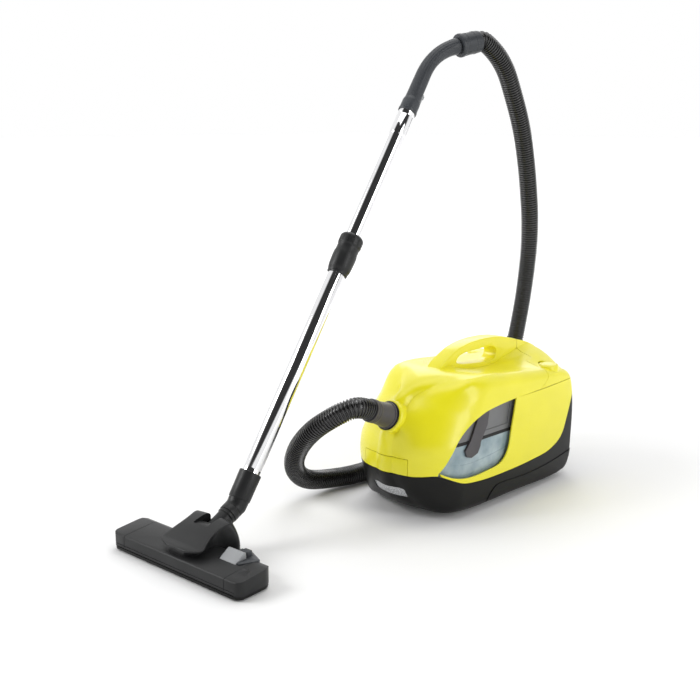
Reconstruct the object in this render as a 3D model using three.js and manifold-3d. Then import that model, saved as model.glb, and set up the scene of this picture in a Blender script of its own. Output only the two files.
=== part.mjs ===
// Canister water-filter vacuum cleaner with hose, handle, telescopic wand and floor head.
// Millimetres, +Z up. X is the machine's width, -Y its front, z = 0 the floor.
import * as THREE from 'three';
import { mergeVertices } from 'three/addons/utils/BufferGeometryUtils.js';
import Module from 'manifold-3d';

const wasm = await Module();
wasm.setup();

// ---------------------------------------------------------------- driving dimensions
const GAP = 0.4;                       // clearance between pieces that touch
const WALL = 3;                        // moulded wall thickness
const SEAM = 0.8;                      // visible joint between two casings
const MACHINE_PLACE = [67, 238, 0];    // machine centre, seen from the row's origin

const BODY_HUB = { y: 20, z: 140 };    // centre of the side wall, where the skin's rings meet
const HALF_WIDTH = 140;                // widest half width of the casing
const UNDERSIDE = 12;                  // height of the flat floor pan above the floor

const RIDGE_HALF = 18;                 // half width of the carry handle
const INLET = { y: -249, z: 220, tilt: 23 };   // centre and upward tilt of the hose inlet
const BUTTON = { x: 101, y: 190, top: 272, radius: 21 };
const FLAP = { half: 60, top: 138 };
const REAR_WHEEL = { x: 104, y: 196, radius: 31, width: 20 };
const CASTER = { y: -150, radius: 19, width: 20, trail: 9 };
const MOTOR = { x: 38, y: 112 };
const REEL = { x: -88, y: 128, z: 140, radius: 60, width: 40 };
const HATCH = { half: 74, bottom: 72, top: 186 };

const HOSE_OD = 44;
const HEAD = { x: -92, y: -700, turn: 4, length: 360 };
const PIVOT = { v: 36, z: 44 };        // tilt axis of the floor head, in the wand's plane
const BEND = { v: 121, z: 86 };        // where the neck bends up into the wand
const WAND_TILT = 54.5;                // wand's angle above the floor, degrees
const WAND_TOP = 925;                  // distance from the bend to the top of the upper tube
const OUTER_TUBE = { r: 19, wall: 1.2 };
const INNER_TUBE = { r: 17.2, wall: 1.2 };

// ---------------------------------------------------------------- geometry helpers
const rad = THREE.MathUtils.degToRad;

function toSolid(geometry) {
  const bare = geometry.index ? geometry.toNonIndexed() : geometry.clone();
  for (const name of Object.keys(bare.attributes)) {
    if (name !== 'position') bare.deleteAttribute(name);
  }
  const merged = mergeVertices(bare, 1e-4);
  const mesh = new wasm.Mesh({
    numProp: 3,
    vertProperties: new Float32Array(merged.attributes.position.array),
    triVerts: new Uint32Array(merged.index.array),
  });
  return new wasm.Manifold(mesh);
}

function toGeometry(solid) {
  const mesh = solid.getMesh();
  const geometry = new THREE.BufferGeometry();
  geometry.setAttribute('position', new THREE.BufferAttribute(mesh.vertProperties, 3));
  geometry.setIndex(new THREE.BufferAttribute(mesh.triVerts, 1));
  return geometry;
}

function box(x0, x1, y0, y1, z0, z1) {
  const geometry = new THREE.BoxGeometry(x1 - x0, y1 - y0, z1 - z0);
  return toSolid(geometry.translate((x0 + x1) / 2, (y0 + y1) / 2, (z0 + z1) / 2));
}

// A flat outline pushed along one axis, from low to high on it.
// axis 'x': outline holds (y, z); axis 'y': (x, z); axis 'z': (x, y).
function prism(outline, axis, low, high, holes = []) {
  const shape = new THREE.Shape(outline.map(([a, b]) => new THREE.Vector2(a, b)));
  shape.holes = holes.map((hole) => new THREE.Path(hole.map(([a, b]) => new THREE.Vector2(a, b))));
  const geometry = new THREE.ExtrudeGeometry(shape, { depth: high - low, bevelEnabled: false });
  if (axis === 'x') geometry.rotateX(Math.PI / 2).rotateZ(Math.PI / 2).translate(low, 0, 0);
  if (axis === 'y') geometry.rotateX(Math.PI / 2).translate(0, high, 0);
  if (axis === 'z') geometry.translate(0, 0, low);
  return toSolid(geometry);
}

// Turned about +Z from [radius, z] pairs, closed on the axis or on itself.
function lathe(profile, sides = 16) {
  const points = profile.map(([r, z]) => new THREE.Vector2(r, z));
  return toSolid(new THREE.LatheGeometry(points, sides).rotateX(Math.PI / 2));
}

function ring(inner, outer, z0, z1, sides = 16) {
  return lathe([[inner, z0], [outer, z0], [outer, z1], [inner, z1], [inner, z0]], sides);
}

function disc(radius, z0, z1, sides = 16) {
  return lathe([[0, z0], [radius, z0], [radius, z1], [0, z1]], sides);
}

// Moves a solid that was made about +Z so that +Z becomes the given direction.
function aim(solid, direction, place) {
  const turn = new THREE.Quaternion();
  turn.setFromUnitVectors(new THREE.Vector3(0, 0, 1), new THREE.Vector3(...direction).normalize());
  const matrix = new THREE.Matrix4().compose(
    new THREE.Vector3(...place), turn, new THREE.Vector3(1, 1, 1));
  return toSolid(toGeometry(solid).applyMatrix4(matrix));
}

const along = {
  x: (solid, place) => aim(solid, [1, 0, 0], place),
  y: (solid, place) => aim(solid, [0, 1, 0], place),
  z: (solid, place) => aim(solid, [0, 0, 1], place),
};

function circle(radius, sides) {
  const corners = Array.from({ length: sides }, (_, i) => (2 * Math.PI * i) / sides);
  return corners.map((a) => new THREE.Vector2(radius * Math.cos(a), radius * Math.sin(a)));
}

// A tube of round section along a smooth path, with an optional bore.
function tube(points, radius, sides, steps, bore = 0) {
  const path = new THREE.CatmullRomCurve3(points.map((p) => new THREE.Vector3(...p)), false, 'centripetal');
  const shape = new THREE.Shape(circle(radius, sides));
  if (bore > 0) shape.holes = [new THREE.Path(circle(bore, sides).reverse())];
  return toSolid(new THREE.ExtrudeGeometry(shape, { steps, bevelEnabled: false, extrudePath: path }));
}

const union = (...solids) => solids.reduce((sum, solid) => sum.add(solid));
const cut = (solid, ...tools) => tools.reduce((left, tool) => left.subtract(tool), solid);
const shiftUp = (line, dz) => line.map(([y, z]) => [y, z + dz]);

// ---------------------------------------------------------------- materials
const finish = (color, roughness, metalness = 0, extra = {}) =>
  new THREE.MeshStandardMaterial({ color, roughness, metalness, ...extra });

const MATERIAL = {
  yellow: finish(0xe6dc22, 0.32),
  black: finish(0x1b1b19, 0.45),
  dark: finish(0x2e2f31, 0.5),
  slate: finish(0x4b5057, 0.5),
  violet: finish(0x464247, 0.45),
  grey: finish(0x9a9ea2, 0.45),
  lid: finish(0x6f7174, 0.45),
  tank: finish(0xa9c6d2, 0.15, 0, { transparent: true, opacity: 0.45 }),
  hose: finish(0x171716, 0.35),
  chrome: finish(0xe3e5e7, 0.08, 1),
  steel: finish(0x9b9fa3, 0.3, 1),
  copper: finish(0xa35a2c, 0.35, 1),
  rubber: finish(0x141414, 0.8),
  board: finish(0x2c6b3c, 0.6),
  paper: finish(0xe9e6da, 0.9),
  bristle: finish(0x111111, 0.9),
};

const model = new THREE.Group();
const machine = new THREE.Group();
machine.position.set(...MACHINE_PLACE);
model.add(machine);

function piece(parent, name, solid, material) {
  const mesh = new THREE.Mesh(toGeometry(solid), MATERIAL[material]);
  mesh.name = name;
  parent.add(mesh);
  return mesh;
}

// ---------------------------------------------------------------- machine skin
// Side outline of the casing at its side walls and on its centre line, [y, z], with the
// radius of the long edge there. The two lists run from the chin, over the top, to the floor.
const SKIN = [
  { edge: [-205, 12], centre: [-214, 12], round: 26 },
  { edge: [-236, 42], centre: [-242, 40], round: 70 },
  { edge: [-258, 92], centre: [-262, 92], round: 95 },
  { edge: [-258, 150], centre: [-264, 150], round: 92 },
  { edge: [-236, 205], centre: [-256, 203], round: 78 },
  { edge: [-196, 256], centre: [-228, 258], round: 56 },
  { edge: [-142, 289], centre: [-168, 292], round: 36 },
  { edge: [-80, 297], centre: [-96, 301], round: 26 },
  { edge: [20, 284], centre: [20, 279], round: 24 },
  { edge: [123, 272], centre: [118, 279], round: 24 },
  { edge: [212, 262], centre: [216, 299], round: 24 },
  { edge: [256, 244], centre: [263, 288], round: 24 },
  { edge: [266, 200], centre: [269, 210], round: 22 },
  { edge: [263, 100], centre: [265, 100], round: 20 },
  { edge: [254, 32], centre: [256, 30], round: 18 },
  { edge: [228, 12], centre: [230, 12], round: 12 },
  { edge: [20, 12], centre: [20, 12], round: 12 },
];

// Half width of the casing at a point of its side wall: full in the middle, and drawn in
// towards both ends, the top and the floor.
function halfWidth(y, z) {
  return HALF_WIDTH - 0.00012 * (y - 70) ** 2 - 0.00035 * (z - 110) ** 2;
}

function closedLine(pairs) {
  const points = pairs.map(([y, z]) => new THREE.Vector3(0, y, z));
  return new THREE.CatmullRomCurve3(points, true, 'centripetal');
}

// The closed skin of the casing, moved inwards by inset. Every station round the outline
// carries a half section: centre line, long edge, then the side wall in to the hub.
function skin(inset, stations = 2 * SKIN.length) {
  const edgeLine = closedLine(SKIN.map((s) => s.edge));
  const centreLine = closedLine(SKIN.map((s) => s.centre));
  const roundLine = closedLine(SKIN.map((s, i) => [i, s.round]));
  const half = [];
  for (let i = 0; i < stations; i += 1) {
    const t = i / stations;
    const edge = edgeLine.getPoint(t);
    const centre = centreLine.getPoint(t);
    const round = Math.max(roundLine.getPoint(t).z - inset, 3);
    const row = [];
    const place = (x, radialCut, lift) => {
      const y0 = edge.y + (centre.y - edge.y) * lift;
      const z0 = edge.z + (centre.z - edge.z) * lift;
      const reach = Math.hypot(y0 - BODY_HUB.y, z0 - BODY_HUB.z);
      const k = (reach - inset - radialCut) / reach;
      row.push([x, BODY_HUB.y + (y0 - BODY_HUB.y) * k, BODY_HUB.z + (z0 - BODY_HUB.z) * k]);
    };
    const width = halfWidth(edge.y, edge.z) - inset;
    for (const share of [0, 0.5]) place((width - round) * share, 0, (1 - share ** 2) ** 2);
    for (const angle of [90, 58, 28, 0]) {
      const cutIn = round * (1 - Math.sin(rad(angle)));
      place(0, cutIn, 0);
      const point = row[row.length - 1];
      point[0] = halfWidth(point[1], point[2]) - inset - round * (1 - Math.cos(rad(angle)));
    }
    const last = row[row.length - 1];
    const y = (last[1] + BODY_HUB.y) / 2;
    const z = (last[2] + BODY_HUB.z) / 2;
    row.push([halfWidth(y, z) - inset, y, z]);
    half.push(row);
  }
  return skinSolid(half, halfWidth(BODY_HUB.y, BODY_HUB.z) - inset);
}

function skinSolid(half, hubX) {
  const rows = half.map((row) => [
    ...row.slice(1).reverse().map(([x, y, z]) => [-x, y, z]),
    ...row,
  ]);
  const positions = [];
  const triangle = (a, b, c) => positions.push(...a, ...b, ...c);
  rows.forEach((row, i) => {
    const next = rows[(i + 1) % rows.length];
    for (let j = 0; j + 1 < row.length; j += 1) {
      triangle(row[j], row[j + 1], next[j + 1]);
      triangle(row[j], next[j + 1], next[j]);
    }
    const end = row.length - 1;
    triangle([-hubX, BODY_HUB.y, BODY_HUB.z], row[0], next[0]);
    triangle([hubX, BODY_HUB.y, BODY_HUB.z], next[end], row[end]);
  });
  const geometry = new THREE.BufferGeometry();
  geometry.setAttribute('position', new THREE.Float32BufferAttribute(positions, 3));
  return toSolid(geometry);
}

// Lines of the casing seen from the side, [y, z], front to rear.
const BASE_LINE = [
  [-300, 100], [-249, 100], [-215, 103], [-186, 90], [-155, 78], [-95, 71], [-10, 70], [85, 73],
  [156, 80], [203, 102], [229, 148], [250, 192], [262, 207], [300, 210],
];
const WINDOW_UPPER = [[-214, 110], [-170, 172], [-131, 202], [-91, 219], [-36, 227], [22, 231]];
const WINDOW_LOWER = [
  [22, 231], [4, 171], [-10, 119], [-32, 97], [-84, 89], [-140, 88], [-186, 97], [-211, 109],
];
const HOOD_REAR = [[119, 232], [146, 250], [154, 264], [158, 279], [183, 283], [183, 360]];

const outerSkin = skin(0);
const innerSkin = skin(WALL, SKIN.length);
const shell = outerSkin.subtract(innerSkin);
const WIDE = 160;

const inletAxis = [0, -Math.cos(rad(INLET.tilt)), Math.sin(rad(INLET.tilt))];
const atInlet = (solid) => aim(solid, inletAxis, [0, INLET.y, INLET.z]);

const SCREWS = [[-112, -60], [112, -60], [-112, 140], [112, 140]];   // [x, y]

function baseShell() {
  const region = prism([...BASE_LINE, [300, -20], [-300, -20]], 'x', -WIDE, WIDE);
  const wheelWell = (side, grow) => {
    const x = side * REAR_WHEEL.x;
    const halfX = REAR_WHEEL.width / 2 + 3 + grow;
    const reach = REAR_WHEEL.radius + 4 + grow;
    return box(x - halfX, x + halfX, REAR_WHEEL.y - reach, REAR_WHEEL.y + reach, 2, 68 + grow);
  };
  const casterWell = (grow) => along.z(disc(40 + grow, 2, 44 + grow, 20), [0, CASTER.y, 0]);
  const solidFloor = outerSkin.intersect(box(-WIDE, WIDE, -300, 300, 0, 90));
  const wells = union(wheelWell(-1, WALL), wheelWell(1, WALL), casterWell(WALL)).intersect(solidFloor);
  const ribs = union(
    box(-62, -59, -196, 20, 14, 53), box(59, 62, -196, 20, 14, 53),
    box(-110, 110, 41, 44, 14, 66),
  );
  const hatchHole = box(-HATCH.half - 0.6, HATCH.half + 0.6, 240, 290, HATCH.bottom, HATCH.top + 0.6);
  const hingeRoom = box(-HATCH.half - 0.6, HATCH.half + 0.6, 252, 290, HATCH.bottom - 11, HATCH.bottom + 1);
  const grip = prism([[-290, 44], [-232, 44], [-232, 70], [-290, 66]], 'x', -44, 44);
  const gripPocket = prism([[-290, 42], [-230, 42], [-230, 72], [-290, 68]], 'x', -47, 47);
  const pocketWall = cut(gripPocket, grip).intersect(outerSkin);
  const pillars = [-1, 1].flatMap((side) => [
    along.z(disc(7, 14, 52, 10), [side * 112, -60, 0]),
    along.z(disc(7, 14, 60, 10), [side * 112, 140, 0]),
  ]).map((pillar) => pillar.intersect(outerSkin));
  const floor = outerSkin.intersect(box(-WIDE, WIDE, -300, 300, 0, 16));
  const screwHoles = SCREWS.map(([x, y]) => along.z(disc(2.2, 0, 34, 8), [x, y, 0]));
  const heads = SCREWS.map(([x, y]) => along.z(disc(4.6, 0, 14, 8), [x, y, 0]));
  const glandHole = along.y(disc(9.4, -20, 30, 12), [-100, 258, 52]);
  const body = union(shell.intersect(region), floor, wells, ribs, pocketWall, ...pillars);
  return cut(body, wheelWell(-1, 0), wheelWell(1, 0), casterWell(0), hatchHole, hingeRoom, grip,
    ...screwHoles, ...heads, glandHole,
    along.z(disc(4.3, 30, 60, 12), [0, CASTER.y, 0])).intersect(box(-WIDE, WIDE, -300, 300, UNDERSIDE, 300));
}

function bodyShell() {
  const region = prism([
    [-211, 109], [-208, 101 + SEAM], ...shiftUp(BASE_LINE, SEAM).slice(3),
    [300, 236 - SEAM], [119, 232 - SEAM], ...WINDOW_LOWER.slice(0, -1),
  ], 'x', -WIDE, WIDE);
  return shell.intersect(region);
}

function hoodShell() {
  const region = prism([
    [-300, 100 + SEAM], [-249, 100 + SEAM], [-215, 103 + SEAM], ...WINDOW_UPPER,
    ...HOOD_REAR.map(([y, z]) => [y - SEAM, z]), [-300, 360],
  ], 'x', -WIDE, WIDE);
  const boss = atInlet(disc(34, -26, 0.2)).subtract(innerSkin);
  const flangeRoom = atInlet(disc(32, 0.2, 30));
  const flapHole = box(-FLAP.half, FLAP.half, -300, -240, 90, FLAP.top);
  const bore = atInlet(disc(26, -40, 10));
  const handle = prism(HANDLE_SIDE, 'x', -RIDGE_HALF, RIDGE_HALF).subtract(innerSkin);
  const body = union(shell.intersect(region), boss, handle.intersect(region));
  return cut(body, bore, flangeRoom, flapHole, handHole());
}

// Carry handle and the ridge behind it, seen from the side.
const HANDLE_SIDE = [
  [-110, 285], [-97, 303], [-66, 318], [-35, 328], [8, 337], [63, 339], [110, 335], [150, 327],
  [181, 319], [222, 307], [256, 292], [262, 262], [150, 258],
];
function handHole() {
  const outline = [
    [-44, 300], [-38, 312], [-22, 317], [88, 318], [100, 311], [104, 300], [96, 282], [-34, 288],
  ];
  return prism(outline, 'x', -WIDE, WIDE).intersect(prism(
    [[-50, 281.5], [-45, 330], [110, 330], [110, 281.5]], 'x', -RIDGE_HALF - 1, RIDGE_HALF + 1));
}

function rearCover() {
  const region = prism([
    ...HOOD_REAR, [300, 360], [300, 236],
  ], 'x', -WIDE, WIDE);
  const ridge = prism(HANDLE_SIDE, 'x', -RIDGE_HALF, RIDGE_HALF).subtract(innerSkin);
  const pods = [-1, 1].map((side) =>
    along.z(disc(BUTTON.radius + 4, 240, BUTTON.top), [side * BUTTON.x, BUTTON.y, 0]));
  const bores = [-1, 1].map((side) =>
    along.z(disc(BUTTON.radius + 0.6, 246, 300), [side * BUTTON.x, BUTTON.y, 0]));
  const stems = [-1, 1].map((side) =>
    along.z(disc(5, 230, 260, 12), [side * BUTTON.x, BUTTON.y, 0]));
  const body = union(shell.intersect(region), ridge.intersect(region), ...pods).intersect(
    box(-halfWidth(190, 250) - 1, halfWidth(190, 250) + 1, 100, 300, 232, 360));
  return cut(body, ...bores, ...stems);
}

function latchFlap() {
  const front = shell.intersect(box(-FLAP.half + 0.6, FLAP.half - 0.6, -300, -248, 101.8, FLAP.top - 0.6));
  const hook = union(box(-9, 9, -260.5, -252, 104, 107.5));
  return union(front, hook);
}

piece(machine, 'base_shell', baseShell(), 'black');
piece(machine, 'body_shell', bodyShell(), 'yellow');
piece(machine, 'hood', hoodShell(), 'yellow');
piece(machine, 'rear_cover', rearCover(), 'yellow');
piece(machine, 'latch_flap', latchFlap(), 'yellow');

// ---------------------------------------------------------------- buttons, hatch and small parts
function pushButton(side) {
  const cap = disc(BUTTON.radius, BUTTON.top - 14, BUTTON.top + 1);
  const stem = disc(4.5, 236, BUTTON.top - 14, 12);
  return along.z(union(cap, stem), [side * BUTTON.x, BUTTON.y, 0]);
}
piece(machine, 'power_button', pushButton(1), 'yellow');
piece(machine, 'rewind_button', pushButton(-1), 'yellow');

function hatch() {
  const panel = shell.intersect(box(-HATCH.half, HATCH.half, 240, 290, HATCH.bottom, HATCH.top));
  const barrel = along.x(ring(1.8, 3.6, -HATCH.half + 1, HATCH.half - 1, 12), [0, 258, HATCH.bottom - 4]);
  const web = box(-HATCH.half + 1, HATCH.half - 1, 260.5, 263, HATCH.bottom - 3, HATCH.bottom + 4);
  const barrelRoom = along.x(disc(1.8, -90, 90, 12), [0, 258, HATCH.bottom - 4]);
  const slots = [];
  for (let z = 92; z <= 168; z += 9.5) slots.push(box(-54, 54, 240, 290, z, z + 4));
  return cut(union(panel, barrel, web), barrelRoom, ...slots);
}
piece(machine, 'hepa_cover', hatch(), 'black');
piece(machine, 'hepa_cover_pin',
  along.x(disc(1.5, -HATCH.half, HATCH.half, 12), [0, 258, HATCH.bottom - 4]), 'steel');
SCREWS.forEach(([x, y], i) => {
  const screw = union(disc(4.2, 12.2, 13.7, 8), disc(1.8, 13.5, 32, 8));
  piece(machine, `base_screw_${i + 1}`, along.z(screw, [x, y, 0]), 'steel');
});
piece(machine, 'cord_gland', along.y(lathe([
  [4.2, -8.4], [12, -8.4], [12, -6], [8.4, -5.8], [8.4, 5.8], [10, 6], [6.4, 24], [4.2, 24], [4.2, -8.4],
], 16), [-100, 258, 52]), 'rubber');

// ---------------------------------------------------------------- water tank and separator
const tankSkin = skin(11, SKIN.length);
const tankCore = skin(13.6, SKIN.length);
const TANK_ZONE = { y0: -226, y1: 36, z0: 54, z1: 158 };
function tankBox(solid, inset, z0, z1) {
  const { y0, y1 } = TANK_ZONE;
  return solid.intersect(box(-WIDE, WIDE, y0 + inset, y1 - inset, z0, z1));
}
function waterTank() {
  const body = tankBox(tankSkin, 0, TANK_ZONE.z0, TANK_ZONE.z1);
  return body.subtract(tankBox(tankCore, 2.6, TANK_ZONE.z0 + 2.6, TANK_ZONE.z1 + 10));
}
piece(machine, 'water_tank', waterTank(), 'tank');
const LID_BASE = 165;
function tankSeal() {
  const outside = tankBox(tankSkin, 0.5, TANK_ZONE.z1 + GAP, LID_BASE);
  return outside.subtract(tankBox(skin(16, SKIN.length), 5, 150, 170));
}
piece(machine, 'tank_seal', tankSeal(), 'rubber');

const LID_FRONT = -190;
function tankLid() {
  const cover = tankSkin.intersect(box(-WIDE, WIDE, LID_FRONT, TANK_ZONE.y1, LID_BASE + GAP, 240));
  const hollow = tankCore.intersect(box(-WIDE, WIDE, LID_FRONT + 3, TANK_ZONE.y1 - 3, 150, 237));
  const apron = tankBox(tankSkin, 0.5, LID_BASE + GAP, LID_BASE + WALL).subtract(
    tankBox(skin(18, SKIN.length), 8, 150, 170));
  const inletPort = atInlet(disc(17, 30, -90));
  const outlet = along.z(disc(34, 230, 250), [0, -40, 0]);
  return cut(union(cover.subtract(hollow), apron), inletPort, outlet);
}
piece(machine, 'tank_lid', tankLid(), 'lid');

function tankHandle() {
  const outline = [
    [-84, 247], [-108, 204], [-132, 164], [-147, 147], [-142, 133], [-128, 128], [-108, 134], [-99, 148],
    [-98, 156], [-75, 190], [-60, 247],
  ];
  const sides = skin(5.2).subtract(skin(9.6)).intersect(prism(outline, 'x', -WIDE, WIDE));
  const bar = box(-WIDE, WIDE, -82, -64, 241, 247).intersect(skin(5.2));
  return union(sides, bar);
}
piece(machine, 'tank_handle', tankHandle(), 'violet');

// ---------------------------------------------------------------- fan, motor and cable reel
const atMotor = (solid) => along.z(solid, [MOTOR.x, MOTOR.y, 0]);
piece(machine, 'motor_mount', atMotor(ring(34, 58, 16.4, 30)), 'rubber');
piece(machine, 'fan_housing', atMotor(lathe([
  [20, 30.4], [62, 30.4], [62, 92], [58, 92], [58, 36], [20, 36], [20, 30.4],
], 18)), 'dark');
piece(machine, 'fan_impeller', atMotor(union(
  ring(5.3, 10, 42, 82, 16), ring(5.3, 54, 42, 44.5, 18),
  ...Array.from({ length: 8 }, (_, i) => {
    const blade = box(9, 52, -1, 1, 44, 70);
    return toSolid(toGeometry(blade).rotateZ((i * Math.PI) / 4));
  }))), 'steel');
piece(machine, 'rotor_shaft', atMotor(disc(5, 38, 176, 16)), 'steel');
piece(machine, 'motor_rotor', atMotor(ring(5.3, 34, 108, 158)), 'copper');
piece(machine, 'motor_casing', atMotor(lathe([
  [8, 92.4], [62, 92.4], [62, 98], [46, 102], [46, 172], [8, 172],
  [8, 167], [41, 167], [41, 98], [8, 98], [8, 92.4],
], 18)), 'dark');

const atReel = (solid) => along.x(solid, [REEL.x, REEL.y, REEL.z]);
const halfReel = REEL.width / 2;
piece(machine, 'cable_reel', atReel(lathe([
  [6.4, -halfReel], [REEL.radius, -halfReel], [REEL.radius, -halfReel + 3], [26, -halfReel + 3],
  [26, halfReel - 3], [REEL.radius, halfReel - 3], [REEL.radius, halfReel], [6.4, halfReel], [6.4, -halfReel],
], 18)), 'dark');
piece(machine, 'reel_axle', atReel(union(disc(6, -halfReel - 6, halfReel + 8, 16),
  disc(11, halfReel + 1, halfReel + 8, 16))), 'steel');
piece(machine, 'reel_bracket', union(
  box(REEL.x + halfReel + 8.4, REEL.x + halfReel + 12, REEL.y - 22, REEL.y + 22, 16.4, REEL.z + 20),
), 'dark');
piece(machine, 'hepa_filter', box(-66, 66, 234, 252, 80, 180), 'paper');
piece(machine, 'circuit_board', box(20, 96, 60, 150, 200, 202), 'board');
piece(machine, 'power_switch', box(BUTTON.x - 12, BUTTON.x + 10, 178, 202, 208, 228), 'dark');

// ---------------------------------------------------------------- wheels
for (const [name, side] of [['left', -1], ['right', 1]]) {
  const place = [side * REAR_WHEEL.x, REAR_WHEEL.y, REAR_WHEEL.radius];
  const w = REAR_WHEEL.width / 2;
  const r = REAR_WHEEL.radius;
  const wheel = lathe([
    [4.3, -w + 2], [12, -w], [r - 3, -w], [r, -w + 3],
    [r, w - 3], [r - 3, w], [12, w], [4.3, w - 2], [4.3, -w + 2],
  ], 18);
  piece(machine, `rear_wheel_${name}`, along.x(wheel, place), 'rubber');
  piece(machine, `rear_axle_${name}`, along.x(disc(4, -w - 2.6, w + 2.6, 12), place), 'steel');
}
const casterWheelY = CASTER.y + CASTER.trail;
const atCaster = (solid) => along.x(solid, [0, casterWheelY, CASTER.radius]);
const casterHalf = CASTER.width / 2;
piece(machine, 'caster_wheel', atCaster(ring(3.3, CASTER.radius, -casterHalf, casterHalf)), 'rubber');
piece(machine, 'caster_axle', atCaster(disc(3, -casterHalf - 6, casterHalf + 6, 12)), 'steel');
function casterFork() {
  const cheek = (side) => {
    const middle = side * (casterHalf + 2.3);
    return box(middle - 1.7, middle + 1.7, CASTER.y - 6, CASTER.y + 18, 14, 42);
  };
  const crown = along.z(disc(22, 40, 43.4), [0, CASTER.y, 0]);
  const stem = along.z(disc(4, 42, 52, 12), [0, CASTER.y, 0]);
  return cut(union(cheek(1), cheek(-1), crown, stem), atCaster(disc(3.3, -30, 30, 12)));
}
piece(machine, 'caster_fork', casterFork(), 'dark');

// ---------------------------------------------------------------- wand plane
// v runs backwards along the floor in the wand's plane, z up; the plane is turned about Z.
const turn = rad(HEAD.turn);
const onPlane = (v, z, side = 0) => [
  HEAD.x - Math.sin(turn) * v + Math.cos(turn) * side,
  HEAD.y + Math.cos(turn) * v + Math.sin(turn) * side,
  z,
];
const wandAxis = [
  -Math.sin(turn) * Math.cos(rad(WAND_TILT)),
  Math.cos(turn) * Math.cos(rad(WAND_TILT)),
  Math.sin(rad(WAND_TILT)),
];
const bendPoint = onPlane(BEND.v, BEND.z);
const alongWand = (distance) => bendPoint.map((c, i) => c + wandAxis[i] * distance);
// Sets a solid made about +Z on the wand's axis with its +Y side facing up and forwards.
function onWand(solid, distance) {
  const zAxis = new THREE.Vector3(...wandAxis);
  const xAxis = new THREE.Vector3(Math.cos(turn), Math.sin(turn), 0);
  const yAxis = new THREE.Vector3().crossVectors(zAxis, xAxis);
  const matrix = new THREE.Matrix4().makeBasis(xAxis, yAxis, zAxis).setPosition(...alongWand(distance));
  return toSolid(toGeometry(solid).applyMatrix4(matrix));
}

// The grip leaves the wand's line at GRIP_CORNER and ends at HANDLE_END, along handleAxis.
const GRIP_CORNER = 165;
const GRIP_REACH = 64;
const handleAxis = [0.302, 0.930, 0.208];
const HANDLE_END = alongWand(WAND_TOP + GRIP_CORNER).map((c, i) => c + handleAxis[i] * GRIP_REACH);

// ---------------------------------------------------------------- inlet and hose
const CUFF_LENGTH = 62;
piece(machine, 'inlet_socket', atInlet(lathe([
  [20, -44], [25.4, -44], [25.4, 0.6], [31, 0.6], [31, 2.6], [20, 2.6], [20, -44],
])), 'dark');
piece(machine, 'inlet_seal', atInlet(ring(16, 19.6, -44, -41)), 'rubber');
piece(machine, 'hose_cuff', atInlet(lathe([
  [16.5, -40], [19.4, -40], [19.4, 3], [28.5, 3], [28.5, 8], [26.5, 10], [23, 46], [24.2, 48],
  [24.2, CUFF_LENGTH], [16.5, CUFF_LENGTH], [16.5, -40],
])), 'violet');

// Route of the hose's centre line, from the cuff round to the handle.
const cuffEnd = inletAxis.map((c, i) => [0, INLET.y, INLET.z][i] + c * (CUFF_LENGTH + 1));
const COLLAR_LENGTH = 58;
const hoseEnd = HANDLE_END.map((c, i) => c + handleAxis[i] * (COLLAR_LENGTH + 1));
const HOSE_ROUTE = [
  cuffEnd, cuffEnd.map((c, i) => c + inletAxis[i] * 14),
  [-3, -345, 256], [-15, -362, 250], [-42, -380, 231], [-78, -391, 202], [-123, -388, 157],
  [-158, -372, 110], [-180, -343, 72], [-192, -300, 43], [-191, -231, 27], [-178, -155, 23],
  [-178, -60, 23], [-192, 40, 23], [-211, 130, 24], [-210, 200, 38], [-186, 262, 78],
  [-152, 312, 135], [-125, 342, 200], [-112, 359, 267], [-109, 372, 324], [-107, 386, 398],
  [-105, 397, 500], [-102, 392, 577], [-98, 375, 654], [-94, 352, 732], [-90, 322, 808],
  [-88, 282, 882], [-89, 247, 940], [-94, 213, 976],
  hoseEnd.map((c, i) => c + handleAxis[i] * 10), hoseEnd,
];
const HOSE_STEPS = 48;
piece(machine, 'suction_hose', tube(HOSE_ROUTE, HOSE_OD / 2, 8, HOSE_STEPS), 'hose');

// ---------------------------------------------------------------- wand
const NECK_TOP = 70;
const OUTER_START = 44;
const OUTER_END = 585;
const INNER_START = 330;
piece(machine, 'wand_upper_tube', onWand(cut(
  lathe([
    [INNER_TUBE.r - INNER_TUBE.wall, INNER_START], [INNER_TUBE.r, INNER_START], [INNER_TUBE.r, WAND_TOP - 62],
    [INNER_TUBE.r + 1.6, WAND_TOP - 56], [INNER_TUBE.r + 1.6, WAND_TOP],
    [INNER_TUBE.r + 0.2, WAND_TOP], [INNER_TUBE.r + 0.2, WAND_TOP - 55],
    [INNER_TUBE.r - INNER_TUBE.wall, WAND_TOP - 62], [INNER_TUBE.r - INNER_TUBE.wall, INNER_START],
  ], 16),
  ...Array.from({ length: 11 }, (_, i) => box(-4, 4, 10, 30, 625 + i * 20, 633 + i * 20)),
), 0), 'chrome');
piece(machine, 'wand_lower_tube', onWand(ring(
  OUTER_TUBE.r - OUTER_TUBE.wall, OUTER_TUBE.r, OUTER_START, OUTER_END, 16), 0), 'chrome');
piece(machine, 'wand_collar', onWand(cut(
  lathe([
    [19.4, 520], [22, 520], [24.5, 536], [25.5, 560], [24, 585], [25, 590], [25, 606], [21, 612], [17.6, 612],
    [17.6, OUTER_END + GAP], [19.4, OUTER_END + GAP], [19.4, 520],
  ], 18),
  box(-8.4, 8.4, 19.8, 40, 537, 575)), 0), 'dark');
piece(machine, 'wand_release_button', onWand(union(
  box(-7.8, 7.8, 20.2, 25.6, 540, 566), box(-6, 6, 25.4, 27.4, 543, 553)), 0), 'grey');

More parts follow.
